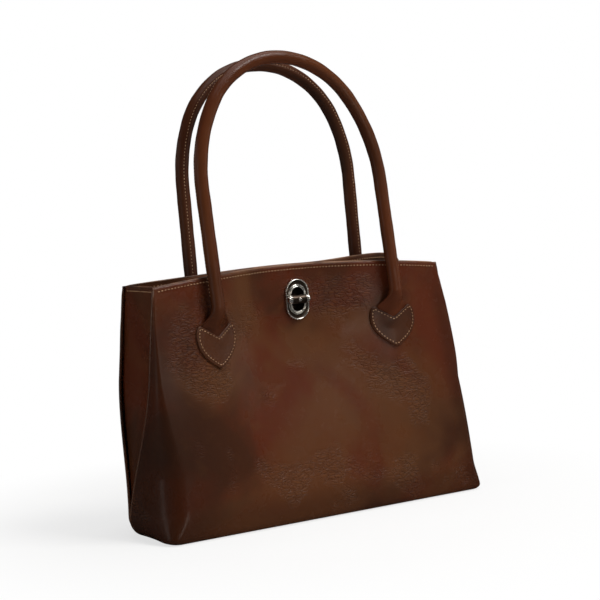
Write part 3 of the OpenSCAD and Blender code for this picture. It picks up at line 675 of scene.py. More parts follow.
# %% Edge paint
def make_edge_paint():
    """Burnished cut edges: two layers of hide, waxed and rubbed, paler than the face."""
    material, tree, where = new_material("burnished_edge")
    dye = place_group(tree, dye_patches, where, Dark=(0.045, 0.016, 0.007, 1), Middle=(0.14, 0.055, 0.024, 1),
                      Light=(0.30, 0.15, 0.075, 1), Cloud_Scale=40.0, Fleck_Scale=420.0)
    return close_material(material, {
        "Base Color": dye["Color"], "Roughness": ranged(tree, dye["Wax"], 0, 1, 0.46, 0.3),
        "Normal": bump(tree, noise(tree, where, 700.0, 3, 0.6), 0.5, 0.00015)})


burnished_edge = make_edge_paint()
print("edges:", burnished_edge.name)

# %% Suede, thread and board
def make_suede():
    """The lining: split leather with a soft nap that scatters light at its edges."""
    material, tree, where = new_material("lining_suede")
    nap = noise(tree, where, 1500.0, 4, 0.7, 0.3)
    swept = ranged(tree, noise(tree, where, 22.0, 3, 0.5, 0.6), 0.35, 0.65)
    colour = blend(tree, swept, (0.17, 0.088, 0.042, 1), (0.27, 0.155, 0.08, 1))
    shade = times(tree, nap, 0.4)
    return close_material(material, {
        "Base Color": blend(tree, shade, colour, (0.10, 0.05, 0.024, 1)),
        "Roughness": ranged(tree, nap, 0.2, 0.8, 0.82, 0.95), "Sheen Weight": 0.35,
        "Normal": bump(tree, nap, 0.5, 0.0002)})


def make_thread():
    """Waxed linen thread: plies twisted round each other show as slanted bands."""
    material, tree, where = new_material("waxed_thread")
    plies = node(tree, "TexWave", {"Vector": where, "Scale": 900.0, "Distortion": 1.5}, wave_type="BANDS",
                 bands_direction="DIAGONAL").outputs["Fac"]
    colour = blend(tree, plies, (0.27, 0.13, 0.062, 1), (0.58, 0.35, 0.19, 1))
    soiled = ranged(tree, noise(tree, where, 90.0, 2), 0.45, 0.7, 0.0, 0.6)
    return close_material(material, {
        "Base Color": blend(tree, soiled, colour, (0.15, 0.062, 0.028, 1)),
        "Roughness": ranged(tree, plies, 0, 1, 0.62, 0.45), "Normal": bump(tree, plies, 0.5, 0.0001)})


def make_board():
    """Pressed fibres, seen only when the bag is taken apart."""
    material, tree, where = new_material("fibre_board")
    fibre = noise(tree, where, 900.0, 5, 0.7, 0.4)
    return close_material(material, {
        "Base Color": blend(tree, fibre, (0.20, 0.14, 0.09, 1), (0.38, 0.30, 0.2, 1)),
        "Roughness": ranged(tree, fibre, 0.2, 0.8, 0.75, 0.92)})


lining_suede, waxed_thread, fibre_board = make_suede(), make_thread(), make_board()
print("finishes:", lining_suede.name, waxed_thread.name, fibre_board.name)

# %% [markdown]
# The lock is nickel-plated. Nickel is a little warmer than chrome, and handling leaves hairlines
# and a thin haze, so its roughness varies. In its channels it has gone dark. The hidden steel
# pieces are duller.

# %% Metals
def make_hairlines():
    """Fine scratches that run across the piece, and the haze between them."""
    tree, ins, outs = new_group("hairlines", {"Scale": 500.0, "Squash": 0.05}, ["Height", "Haze"])
    stretch = node(tree, "CombineXYZ", {0: ins["Squash"], 1: 1.0, 2: 1.0}).outputs[0]
    scaled = node(tree, "VectorMath", {0: ins["Vector"], 1: stretch}, operation="MULTIPLY").outputs[0]
    haze = ranged(tree, noise(tree, ins["Vector"], 180.0, 3, 0.6, 0.5), 0.35, 0.7)
    return close_group(tree, outs, Height=noise(tree, scaled, ins["Scale"], 4, 0.7), Haze=haze)


hairlines = make_hairlines()


def metal(name, clean, hazy, low, high):
    """Metal that goes from a clean colour and a low roughness to a hazy colour and a high one."""
    material, tree, where = new_material(name)
    marks = place_group(tree, hairlines, where, Scale=1500.0)
    return close_material(material, {
        "Base Color": blend(tree, marks["Haze"], clean, hazy), "Metallic": 1.0,
        "Roughness": ranged(tree, marks["Haze"], 0, 1, low, high),
        "Normal": bump(tree, marks["Height"], 0.15, 0.00003)})


nickel = metal("polished_nickel", (0.83, 0.81, 0.77, 1), (0.66, 0.63, 0.58, 1), 0.07, 0.17)
satin = metal("satin_nickel", (0.90, 0.88, 0.83, 1), (0.74, 0.71, 0.65, 1), 0.20, 0.30)
# Dark metal: real tarnish in the lock's channels, and a painted dark reflection on the middle of the knob.
tarnish_and_dark_reflection = metal("tarnish_and_reflection_nickel", (0.075, 0.055, 0.042, 1), (0.030, 0.023, 0.018, 1), 0.30, 0.46)
steel = metal("plain_steel", (0.5, 0.5, 0.5, 1), (0.35, 0.34, 0.33, 1), 0.28, 0.42)
print("metals:", nickel.name, satin.name, tarnish_and_dark_reflection.name, steel.name)

# %% [markdown]
# ## Dressing a piece
# Each new piece needs three things: materials, the body that it rides on, and the CAD nodes that
# it stands for, which are hidden. One helper does all three.

# %% Dress helper
made = []


def dress(obj, materials, nodes=(), body="bag"):
    for material in materials:
        obj.data.materials.append(material)
    if body:
        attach(obj, body)
    if nodes:
        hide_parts(*nodes)
    made.append(obj.name)


def add_layer(name, grid, depth, thick):
    """A sheet between one depth in the bag and a deeper one; grid gives the points at a depth."""
    return add_sheet(name, grid(depth), grid(depth + thick))


print("ready to dress", len(frame["nodes"]), "nodes")

# %% [markdown]
# ## The two walls
# Each wall is one hide that runs from seam to seam, round both front corners. Levels are stacked
# from the rolled lower edge to the top. They are closer together where the wall bends fast.

# %% Wall levels
side_points, arc_points, run_steps = 8, 14, 110
low_steps, high_steps = 8, 92


def wall_end(face, side, t, depth):
    """From a side seam round the corner to where the run of the wall begins: x, y, the run's end."""
    draw = foot_in(t)
    deep, reach = corner_depth(face, t, side), corner_reach(face, t, side)
    seam = seam_half(t) + face * seam_mid(t) + lay_gap / 2
    bend, run = corner_y(face, t) - draw - deep, half_w(t) - draw - reach
    a = np.radians(90 * np.arange(arc_points) / arc_points)
    straight = np.arange(side_points) / side_points
    x = np.concatenate([np.full(side_points, half_w(t) - draw - depth), run + (reach - depth) * np.cos(a)])
    y = np.concatenate([mix(seam, bend, straight), bend + (deep - depth) * np.sin(a)])
    return side * x, face * y, side * run


def wall_level(face, t, depth):
    """One level of a wall from seam to seam, seen from outside left to right."""
    first, last = (RIGHT, LEFT) if face == BACK else (LEFT, RIGHT)
    x0, y0, run0 = wall_end(face, first, t, depth)
    x1, y1, run1 = wall_end(face, last, t, depth)
    run_x = mix(run0, run1, np.linspace(0, 1, run_steps + 1))
    u = np.clip(run_x / (run_half(face, t) - foot_in(t)), -1, 1)
    x = np.concatenate([x0, run_x, x1[::-1]])
    y = np.concatenate([y0, wall_y(face, u, t) - face * depth, y1[::-1]])
    ends = np.full(len(x0), t * body_h)
    return columns(x, y, np.concatenate([ends, edge_height(face, u, t), ends]))


low_levels = [(foot_low + foot_round * (1 - math.cos(math.radians(90 * i / low_steps)))) / body_h
              for i in range(low_steps + 1)]
high_levels = [mix(low_levels[-1], 1, (i / high_steps) ** 0.96) for i in range(1, high_steps + 1)]


def wall_grid(face, depth):
    return np.array([wall_level(face, t, depth) for t in low_levels + high_levels])


print("levels per wall:", len(low_levels + high_levels))

# %% Hole for the lock
def oval_line(radius, ends, half_steps):
    """A flat oval of two half rounds, whose centres stand at ends above and below the middle."""
    a = np.linspace(0, np.pi, half_steps)
    half = columns(radius * np.cos(a), ends + radius * np.sin(a))
    return np.concatenate([half, -half])


hole_r, hole_ends = 8.75, 4.5
x, z = oval_line(hole_r, hole_ends, 24).T
cutter = add_tube("lock_cutter", [columns(x, y, lock_z + z) for y in (-9.0, -30.0)])
print("cutter for the lock:", len(cutter.data.polygons), "faces")

# %% Painted shade and wrinkles
crinkled = [(55, 202, 44, 20, 1.0), (88, 112, 40, 30, 0.8), (-20, 48, 42, 22, 0.8), (-115, 150, 24, 40, 0.5)]


def store(obj, name, values, kind="FLOAT", field="value"):
    obj.data.attributes.new(name, kind, "POINT").data.foreach_set(field, values)


def add_painted_shade(wall):
    """Two values for each point: painted shade, darker along the foot, in the lower corners (the left one
    most) and along the side edges, and how much the hide is wrinkled, in soft spots given by x, z, two
    radii and amount."""
    points = np.empty(len(wall.data.vertices) * 3)
    wall.data.vertices.foreach_get("co", points)
    x, y, z = (points.reshape(-1, 3) / MM).T
    t = z / body_h
    out = np.abs(x) / half_w(t)
    low_corner = 0.62 * ease((out - 0.5) / 0.4) * ease((0.75 - t) / 0.45) * np.where(x < 0, 1, 0.25)
    side_strip = 0.45 * ease((out - 0.86) / 0.1) * ease((1.02 - t) / 0.2)
    foot = 0.4 * ease((0.16 - t) / 0.1)
    # Painted shade: darker along the foot, in the lower corners (the left one most) and along the side edges.
    store(wall, "painted_shade", 1 - (1 - low_corner) * (1 - side_strip) * (1 - foot))
    spots = [amount * np.exp(-((x - cx) / rx) ** 2 - ((z - cz) / rz) ** 2)
             for cx, cz, rx, rz, amount in crinkled]
    store(wall, "crinkle", np.max(spots, axis=0))


print("wrinkled spots:", len(crinkled))

# %% Front and back wall
for face, label in WALL_NAMES.items():
    wall = add_layer(label + "_wall", lambda depth: wall_grid(face, depth), 0, leather_t)
    if face == FRONT:
        cut_hole(wall, cutter)
    add_painted_shade(wall)
    dress(wall, [body_leather, burnished_edge], [label + "_panel"])
    print(wall.name, "has", len(wall.data.polygons), "faces")

# %% [markdown]
# ## The side gussets
# A gusset closes the side of the bag and folds inward like a bellows, so that the bag can open.
# It starts as a point near the floor, widens upward, and lies just behind the edges of the walls.

# %% Shape of a gusset
def gusset_in(t, w):
    """How far a gusset lies behind the side edges of the walls, most in the middle of its fold."""
    return gusset_inset + gusset_fold * arch(t) * (1 - w ** 2) * np.clip(seam_half(t) / gusset_half, 0, 1)


def gusset_end(face, t):
    """A gusset laps behind the edge of a wall, as far as the wall's corner leaves room."""
    room = corner_y(face, t) - face * seam_mid(t) - leather_t - 2 * lay_gap
    return np.minimum(seam_half(t) + gusset_lap, room)


def side_sweep(side, cols):
    """From 1 at the back to -1 in front on the left side, and the other way round on the right."""
    return np.linspace(1, -1, cols + 1) * -side


def side_level(side, t, depth, room=0.0, cols=36):
    far = side_sweep(side, cols)
    reach = np.where(far > 0, gusset_end(BACK, t), gusset_end(FRONT, t))
    across = far * (reach - room)
    x = side * (half_w(t) - gusset_in(t, across / reach) - depth)
    return columns(x, seam_mid(t) + across, t * body_h)


def side_grid(side, low, depth, rows, room=0.0):
    """The gusset from a share of its height to the top, with its edges drawn in by room."""
    return np.array([side_level(side, t, depth, room) for t in np.linspace(low, 1, rows)])


print("ends of the left gusset at mid height:", np.round(side_level(LEFT, 0.5, 0)[[0, -1]], 1).tolist())

# %% Gussets and their facings
facing_low = 1 - facing_h / body_h
for side, label in SIDE_NAMES.items():
    fold = add_layer(label + "_gusset_fold", lambda depth: side_grid(side, gusset_foot_z / body_h, depth, 70),
                     0, gusset_leather_t)
    dress(fold, [body_leather, burnished_edge], [label + "_gusset"])
    backing = add_layer(label + "_gusset_backing",
                        lambda depth: side_grid(side, facing_low, depth, 22, facing_t + lay_gap),
                        gusset_leather_t + lay_gap, facing_t)
    dress(backing, [facing_leather, burnished_edge], [label + "_gusset_facing"])
print("gussets:", made[-4:])

# %% [markdown]
# ## The base
# The base is a slab of leather under a board. Both lie inside the feet of the two walls, which
# reach the floor, and their short ends are drawn in under the wide round of the sides.

# %% Base, board and floor lining
def foot_grid(depth, z, rows=26):
    """The space between the two walls at a height, in rows from the front to the back."""
    front, back = wall_level(FRONT, z / body_h, depth), wall_level(BACK, z / body_h, depth)[::-1]
    grid = np.array([mix(front, back, k) for k in np.linspace(0, 1, rows)])
    grid[..., 2] = z
    return grid


board_top = base_t + board_t
for name, gaps, low, thick, material, slot, node_name in (
        ("base_leather", 1, 0, base_t, body_leather, "body_leather", "base_panel"),
        ("base_stiffener", 1, base_t, board_t, fibre_board, "base_board", "base_board"),
        ("floor_suede", 2, board_top + lay_gap, lining_t, lining_suede, "lining_suede", "floor_lining")):
    depth = leather_t + gaps * lay_gap
    layer = add_sheet(name, foot_grid(depth, low + thick), foot_grid(depth, low))
    dress(layer, [material, material], [node_name])
print("base layers:", made[-3:])

# %% [markdown]
# ## Facings and lining
# Inside, a strip of smooth leather backs each top edge, and suede lines the rest.

# %% Front and back facings and lining
facing_reach, lining_reach = 1 - 2 / 28, 0.96
lining_in = leather_t + 4 * lay_gap
floor_z = board_top + lining_t + 2 * lay_gap
facing_rows = np.linspace(facing_low, 1, 30)
lining_rows = np.linspace((floor_z + 2 * lay_gap) / body_h, 1 - (facing_h + 2 * lay_gap) / body_h, 50)


def run_grid(face, shares, depth, reach, cols=90):
    """The run of a wall without its corners, at some shares of its height."""
    u = np.linspace(1, -1, cols + 1) * reach
    return np.array([columns(face * u * run_half(face, t), wall_y(face, u, t) - face * depth,
                             edge_height(face, face * u, t)) for t in shares])


for face, label in WALL_NAMES.items():
    strip = add_layer(label + "_facing_strip", lambda depth: run_grid(face, facing_rows, depth, facing_reach),
                      leather_t + lay_gap, facing_t)
    if face == FRONT:
        cut_hole(strip, cutter)
        bpy.data.objects.remove(cutter)
    dress(strip, [facing_leather, burnished_edge], [label + "_facing"])
    suede = add_layer(label + "_suede", lambda depth: run_grid(face, lining_rows, depth, lining_reach),
                      lining_in, lining_t)
    dress(suede, [lining_suede, lining_suede], [label + "_lining"])
print("facings and lining:", made[-4:])

# %% Side lining
def side_lining(side, t, depth, cols=36):
    """One level of a side's lining: it follows the gusset's fold and the corners of the walls."""
    far = side_sweep(side, cols)
    wall = np.where(far > 0, np.abs(wall_y(BACK, lining_reach, t)), np.abs(wall_y(FRONT, lining_reach, t)))
    x = half_w(t) - gusset_inset - gusset_leather_t - lay_gap - foot_in(t) \
        - gusset_fold * arch(t) * (1 - far ** 4) - np.abs(far) ** 6 * 0.6 * corner_depth(FRONT, t) - depth
    return columns(side * x, far * (wall - lining_in - lining_t - lay_gap), t * body_h)


for side, label in SIDE_NAMES.items():
    suede = add_layer(label + "_suede", lambda depth: np.array([side_lining(side, t, depth)
                                                                for t in lining_rows]), 0, lining_t)
    dress(suede, [lining_suede, lining_suede], [label + "_lining"])
print("side lining:", made[-2:])

# %% [markdown]
# ## Burnished edges
# Where leather ends, its cut layers are glued, sewn, rounded and waxed. That edge is what catches
# the light along the top and down the gusset seams, so it is a bead of its own, swept along the
# edge with a flattened round section.

# %% Edge beads
up = (0.0, 0.0, 1.0)


def all_along(line, direction):
    return np.tile(np.array(direction, float), (len(line), 1))


def add_bead(name, line, facing, half_wide, half_high, taper, material=burnished_edge, square=False):
    """A bead along a line. It faces one way all along, or square to the line, and its ends taper."""
    along, outward = tangents(line), all_along(line, facing)
    across = unit(np.cross(outward, along))
    if square:
        outward = np.cross(along, across)
    c, s = ring_of(12)
    ends = np.minimum(np.arange(len(line)), np.arange(len(line))[::-1]) / taper
    size = np.sqrt(np.clip(1 - (1 - np.clip(ends, 0, 1)) ** 2, 0.02, 1))
    rings = [p + a * half_wide * k * c[:, None] + o * half_high * k * s[:, None]
             for p, a, o, k in zip(line, across, outward, size)]
    dress(add_tube(name, rings), [material])


def top_line(face, depth, drop, reach=1.0, count=161):
    """The top edge of a wall, depth inside its outer face and drop below it, from left to right."""
    x_share = np.linspace(-reach, reach, count)
    y = wall_y(face, x_share, 1.0) - face * depth
    return columns(x_share * run_half(face, 1.0), y, edge_height(face, x_share, 1.0) - drop)


for face, label in WALL_NAMES.items():
    line = top_line(face, stack_t / 2, 0.25)
    add_bead(label + "_top_edge", line, up, stack_t / 2 + 0.15, 0.75, 3, square=True)
print("top beads:", made[-2:])

# %% Gusset seams
seam_start, seam_inset, rim_drop = 0.052, 0.9, 0.2


def seam_line(side, face, count=90):
    t = np.linspace(seam_start, 1, count)
    return tucked(columns(side * (half_w(t) - seam_inset), seam_mid(t) + face * seam_half(t), t * body_h))


for side, side_label in SIDE_NAMES.items():
    for face, label in WALL_NAMES.items():
        name = f"{side_label}_{label}_seam_edge"
        add_bead(name, seam_line(side, face), (side, 0, 0), 1.15, 1.5, 5, waxed_seam)
    rim = side_level(side, 1.0, gusset_leather_t / 2 + facing_t / 2, cols=40)
    rim[:, 2] -= rim_drop
    add_bead(side_label + "_gusset_top_edge", rim, up, 1.75, 0.7, 3)
print("seam beads:", made[-6:])

# %% [markdown]
# ## Heart tabs
# Each end of a handle is held by a heart of leather. Its middle is raised over the flattened end
# of the handle, its edge is rounded, and its outline leaves a notch where the handle goes in.
# Rings of points shrink from the outline to the middle, which keeps the rounded edge even.

# %% Heart outline
tab_shoulder, tab_side_share, tab_belly = 0.77, 0.16, 0.44


def heart_outline(count=240, smoothing=3):
    """Outline points x, z about the bottom of the notch, anticlockwise seen from the front."""
    s = np.linspace(0, 1, 200)
    inner, outer = s[s <= tab_shoulder], s[s > tab_shoulder]
    notch = columns(inner, tab_lobe * inner / tab_shoulder)
    q = (outer - tab_shoulder) / (1 - tab_shoulder)
    lobe = columns(outer, tab_lobe * mix(tab_side_share, 1, np.sqrt(np.clip(1 - q ** 2, 0, 1))))
    low_s = np.sin(np.linspace(np.pi / 2, 0, 200))
    low = columns(low_s, -tab_tip * (1 - low_s) ** tab_belly)
    right = np.concatenate([notch, lobe, low[1:]])
    loop = np.concatenate([right, right[::-1][1:-1] * [-1, 1]]) * [tab_w / 2, 1]
    closed = np.concatenate([loop[::-1], loop[-1:]])
    along = line_length(closed)
    out = read_at(np.linspace(0, along[-1], count, endpoint=False), along, closed)
    for _ in range(smoothing):
        out = 0.5 * out + 0.25 * (np.roll(out, 1, 0) + np.roll(out, -1, 0))
    return out


def inset_line(loop, distance):
    """A line that keeps its distance inside an anticlockwise outline, corners included."""
    d = np.roll(loop, -1, 0) - np.roll(loop, 1, 0)
    moved = loop + unit(columns(-d[:, 1], d[:, 0])) * distance
    gap = np.linalg.norm(moved[:, None] - loop[None], axis=2).min(1)
    return moved[gap > distance * 0.97]


def signed_area(loop):
    x, z = loop.T
    return 0.5 * np.sum(x * np.roll(z, -1) - z * np.roll(x, -1))


outline = heart_outline()
if signed_area(outline) < 0:
    outline = outline[::-1]
stitch_loop = inset_line(outline, 2.4)
print("heart:", round(signed_area(outline)), "mm2, stitch line of", len(stitch_loop), "points")

# %% Tab on a wall
notch_centre = np.array([0.0, -9.0])
tab_gap, tab_face, patch_top, patch_share = 0.3, 1.93, -4.4, 0.8
lift_high, lift_wide = 1.3, 9.0
tab_profile = [(1.0, 0.25), (1.004, 0.75), (1.0, 1.25), (0.985, 1.62), (0.955, 1.83), (0.90, 1.9),
               (0.8, 1.93), (0.65, 1.96), (0.5, 2.0), (0.35, 2.03), (0.2, 2.05), (0.08, 2.06)]
tab_keys = {(face, side): HANDLE_NAMES[face] + "_" + SIDE_NAMES[side]
            for face in HANDLE_NAMES for side in SIDE_NAMES}


def tab_rise(flat):
    """How far the middle of a tab is lifted by what lies under it."""
    return lift_high * np.exp(-(flat[:, 0] / lift_wide) ** 2) * ease((flat[:, 1] + 13) / 11)


def on_wall(face, side, flat, height):
    """Points of a flat outline laid on a wall at a height above it."""
    x, z = side * half_span[face] + flat[:, 0], tab_notch_z + flat[:, 1]
    return columns(x, skin(face, x, z), z) + skin_normal(face, x, z) * np.reshape(height, (-1, 1))


def make_tab(face, side, name):
    rings = [on_wall(face, side, notch_centre + (outline - notch_centre) * 0.5, 0.25)]
    for q, height in tab_profile:
        flat = notch_centre + (outline - notch_centre) * q
        rings.append(on_wall(face, side, flat, tab_gap + height + tab_rise(flat) * min(1, (1.02 - q) * 8)))
    return add_tube(name, np.array(rings)[:, ::-face])


print("tabs to make:", list(tab_keys.values()))

# %% Tabs and patches
for (face, side), key in tab_keys.items():
    dress(make_tab(face, side, key + "_tab"), [tab_leather], [key + "_heart_tab"])
    flat = outline[outline[:, 1] < -4] * patch_share
    top = columns(flat[:, 0], patch_top)
    outer, inner = [np.array([on_wall(face, side, mix(flat, top, k), -leather_t - gaps * lay_gap)
                              for k in (0, 0.5, 1)]) for gaps in (1, 2)]
    patch = add_sheet(key + "_inner_patch", outer, inner)
    dress(patch, [facing_leather, facing_leather], [key + "_patch"])
print("tabs:", [n for n in made if n.endswith("_tab")])

# %% [markdown]
# ## Rolled handles
# A handle is a strip of leather rolled round a cord and sewn shut. At each end the cord stops and
# the leather is pressed flat, widens to fill the notch, and goes under the heart. So the section
# of the sweep changes: a circle along the bow, then a wide lens, then a thin tongue. The foot
# stays on the bag while the bow can fold; the piece itself is attached to no body.

# %% Fold lines and a handle's foot
foot_h = [-5.0, -3.0, 0.0, 4.0, 8.0, 10.5, 12.0, 14.0, 16.0, 18.0, 20.0, 23.0, 27.0, 32.0]
foot_wide = [1.5, 3.2, 5.6, 9.8, 13.4, 15.0, 14.9, 13.3, 11.4, 9.7, 8.4, 7.1, 6.45, 6.3]
handle_sides, foot_top = 48, 31
fold_y = {face: joint["pos_m"][1] / MM for face, label in HANDLE_NAMES.items()
          for joint in frame["joints"] if joint["name"] == label + "_handle_fold"}
limb = {face: np.array([0.0, math.sin(lean), math.cos(lean)]) for face, lean in handle_lean.items()}
thick = {face: np.array([0.0, math.cos(lean), -math.sin(lean)]) for face, lean in handle_lean.items()}


def foot_rings(face, side):
    """Rings from the tongue under the tab up to where the limb is round, and their middles."""
    rings = []
    c, s = ring_of(handle_sides)
    middle = side * half_span[face]
    for h in np.concatenate([np.linspace(-5, 14, 30), np.linspace(14.6, foot_top, 28)]):
        z = tab_notch_z + h
        rise = (z - handle_foot_z) / limb[face][2]
        tube = float(ease((h - 6) / 22))
        x = middle + side * np.interp(h, foot_h, foot_wide) * np.sign(c) * np.abs(c) ** mix(0.85, 1, tube)
        ridge = mix(0.4, 7.5, float(ease((h + 3) / 24))) * np.exp(-((x - middle) / 6.2) ** 2)
        lens = np.where(s > 0, 0.35 + (1.0 + ridge) * np.abs(s) ** 0.6, 0.3)
        flat = skin(face, x, np.full(handle_sides, z)) + face * lens
        round_y = fold_y[face] + rise * limb[face][1] + face * handle_r * s
        rings.append(columns(x, mix(flat, round_y, tube), z))
    return rings, [ring.mean(0) for ring in rings]


print("fold lines at y =", fold_y)

# %% Bow of a handle
limb_steps, side_steps, top_steps = 14, 18, 46


def bow_path(face):
    """The middle line of the bow: across, along the leaning limb, and the way that is outward."""
    half, big, small = half_span[face], handle_side_r, handle_top_r
    turn = math.acos((big - half) / (big - small))
    top = handle_rise[face] - small
    low, inner = top - (big - small) * math.sin(turn), big - half
    start = (tab_notch_z + foot_top - handle_foot_z) / limb[face][2] + 3

    def arc_of(middle, height, radius, first, last, count):
        return [(middle + radius * math.cos(a), height + radius * math.sin(a), a)
                for a in np.linspace(first, last, count, endpoint=False)]

    return [(-half, v, math.pi) for v in np.linspace(start, low, limb_steps, endpoint=False)] \
        + arc_of(inner, low, big, math.pi, math.pi - turn, side_steps) \
        + arc_of(0, top, small, math.pi - turn, turn, top_steps) \
        + arc_of(-inner, low, big, turn, 0, side_steps) \
        + [(half, v, 0.0) for v in np.linspace(low, start, limb_steps)]


def bow_rings(face):
    """Rings along the bow from the left limb to the right one, their middles and outward ways."""
    path, across = bow_path(face), np.array([1.0, 0.0, 0.0])
    c, s = ring_of(handle_sides)
    mids = [np.array([x, fold_y[face], handle_foot_z]) + v * limb[face] for x, v, a in path]
    outs = [math.cos(a) * across + math.sin(a) * limb[face] for x, v, a in path]
    rings = [mid + handle_r * (out * c[:, None] + face * thick[face] * s[:, None])
             for mid, out in zip(mids, outs)]
    return rings, mids, outs


print("bow of the front handle:", len(bow_path(FRONT)), "places")

# %% [markdown]
# The seam runs along the handle as a narrow groove with a raised rim. The leather also brings its
# own place on the hide: the round section, and the way along it, shortened so that the dye shows
# longer streaks.

# %% Two handles
seam_angle = {FRONT: math.radians(-16), BACK: math.radians(-80)}
groove_deep, groove_wide, rim_high, rim_off, rim_wide = 0.42, 0.11, 0.22, 0.24, 0.13
seam_from, seam_run, stitch_sink, unroll = 34, 14, 0.3, 0.22
seam_lines = {}
angle = np.linspace(0, 2 * np.pi, handle_sides, endpoint=False)
for face, label in HANDLE_NAMES.items():
    left_foot, left_mid = foot_rings(face, LEFT)
    right_foot, right_mid = foot_rings(face, RIGHT)
    bow, bow_mid, outs = bow_rings(face)
    rings = np.array(left_foot + bow + right_foot[::-1])
    mids = np.array(left_mid + bow_mid + right_mid[::-1])
    along = line_length(mids)
    away = np.abs((angle - seam_angle[face] + np.pi) % (2 * np.pi) - np.pi)
    rim = rim_high * np.exp(-((away - rim_off) / rim_wide) ** 2)
    groove = groove_deep * np.exp(-(away / groove_wide) ** 2) - rim
    fade = ease((np.minimum(along, along[-1] - along) - seam_from) / seam_run)
    wave = 0.10 * np.sin(along / 7.3) + 0.07 * np.sin(along / 3.1 + 1)
    shrink = 1 - (groove[None, :] * fade[:, None] + wave[:, None] * fade[:, None]) / handle_r
    rings = mids[:, None] + (rings - mids[:, None]) * shrink[..., None]
    handle = add_tube(label + "_rolled_handle", rings[:, ::-face])
    rolled = np.tile(columns(handle_r * np.cos(angle), handle_r * np.sin(angle))[::-face], (len(mids), 1))
    place = columns(rolled[:, 0], rolled[:, 1], np.repeat(along * unroll, handle_sides)) * MM
    store(handle, "roll_place", place.ravel(), "FLOAT_VECTOR", "vector")
    ends = ("_handle_leather", "_handle_core", "_left_handle_foot", "_right_handle_foot")
    dress(handle, [handle_leather if face == FRONT else rear_handle_leather],
          [label + end for end in ends], body=None)
    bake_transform(handle)
    normal = np.array(outs) * math.cos(seam_angle[face]) + face * thick[face] * math.sin(seam_angle[face])
    seam_lines[face] = (np.array(bow_mid) + normal * (handle_r - stitch_sink), normal)
print("handles:", made[-2:])

# %% [markdown]
# ## Stitches
# Saddle stitches are short, slightly arched capsules whose ends dive into the leather. They are
# real geometry, so they cast tiny shadows and stay sharp from every side. All stitches of a row
# are one mesh.

# %% Stitch helper
stitch_counts = []


def add_stitches(name, places, normals, directions=None, body="bag", length=1.85,
                 radius=0.52, sink=0.05, sides=6, steps=7):
    """A row of stitches at places on a surface, along the row unless directions say otherwise."""
    c, s = ring_of(sides)
    v = np.linspace(-1, 1, steps)
    fat = radius * np.sqrt(np.clip(1 - v ** 4, 0.04, 1))
    lift = -sink + (radius + sink * 0.6) * (1 - v ** 2)
    normals = unit(normals)
    directions = tangents(places) if directions is None else directions
    directions = unit(directions - np.sum(directions * normals, 1, keepdims=True) * normals)
    points, faces = [], []
    for p, n, d, w in zip(places, normals, directions, np.cross(normals, directions)):
        start = len(points) * sides * steps
        ring = p + d * (v[:, None, None] * length / 2) + n * lift[:, None, None] \
            + fat[:, None, None] * (w * c[None, :, None] + n * s[None, :, None])
        points.append(ring.reshape(-1, 3))
        faces += grid_faces(steps, sides, start, flip=True, wrap=True)
        faces.append([start + k for k in range(sides)])
        faces.append([start + (steps - 1) * sides + k for k in range(sides)][::-1])
    dress(add_mesh(name, np.concatenate(points), faces), [waxed_thread], body=body)
    stitch_counts.append(len(places))


print("stitch helper ready")

# %% Stitches along the top edges
top_drop, top_pitch, gusset_pitch, heart_pitch, handle_pitch = 4.2, 3.35, 3.0, 3.1, 3.1
for face, label in WALL_NAMES.items():
    for ending, depth, reach, way in (("", 0, 0.985, 1), ("_inside", stack_t, 0.915, -1)):
        line = top_line(face, depth, top_drop, reach)
        x, u = line[:, 0], line[:, 0] / run_half(face, 1.0)
        low = line[:, 2] - (edge_height(face, u, 1.0) - body_h - arch_rise * (1 - u ** 2))
        line[:, 1] = skin(face, x, low) - face * depth
        at, n = resample(line, top_pitch, 1.0, skin_normal(face, x, low) * way)
        add_stitches(label + "_top_stitches" + ending, at, n)
for side, label in SIDE_NAMES.items():
    line = side_level(side, 1 - top_drop / body_h, 0, cols=60)[4:-4]
    at, n = resample(line, gusset_pitch, 0.5, all_along(line, (side, 0, 0)))
    add_stitches(label + "_gusset_top_stitches", at, n)
print("stitches along the top:", sum(stitch_counts))

# %% Stitches round the hearts and along the handles
for (face, side), key in tab_keys.items():
    even = resample(np.concatenate([stitch_loop, stitch_loop[:1]]), heart_pitch)[:-1]
    at = on_wall(face, side, even, tab_gap + tab_face + tab_rise(even))
    loop_dir = np.roll(at, -1, 0) - np.roll(at, 1, 0)
    add_stitches(key + "_tab_stitches", at, skin_normal(face, at[:, 0], at[:, 2]), loop_dir,
                 length=1.75, radius=0.50)
for face, label in HANDLE_NAMES.items():
    line, normal = seam_lines[face]
    at, n = resample(line, handle_pitch, 4.0, normal)
    add_stitches(label + "_handle_stitches", at, n, body=label + "_handle", length=1.7,
                 radius=0.36, sink=0.2)
print("all stitches:", sum(stitch_counts))

# %% [markdown]
# ## The turn lock
# An oval eyelet plate is clamped to the front, an upright collar from the rear stands through it,
# and a half-round knob turns across both. The ovals have straight sides and round ends, so a
# profile of radius, end distance and height, swept round that oval, gives rounded metal rims. The
# channels between the rims have gone dark. The middle of the knob gets the same dark metal as a
# painted reflection of dark surroundings.

# %% Oval sweep
oval_half_steps = 28


def lock_place(right, up, forward):
    """From the lock's own frame to the bag's."""
    return columns(right, -lock_front - forward, lock_z + up)


def mark_rings(obj, first, last, sides):
    """Give the faces between two rings of a tube its second material."""
    for polygon in obj.data.polygons[first * sides:last * sides]:
        polygon.material_index = 1


def add_oval_piece(name, profile, darkened, node_name):
    """A ring swept round ovals. The ring numbers in darkened bound the faces in the dark metal."""
    rings = [lock_place(*oval_line(r, e, oval_half_steps).T, z) for r, e, z in profile]
    piece = add_tube(name, rings, closed=True)
    for first, last in darkened:
        mark_rings(piece, first, last, 2 * oval_half_steps)
    dress(piece, [satin, tarnish_and_dark_reflection], [node_name])


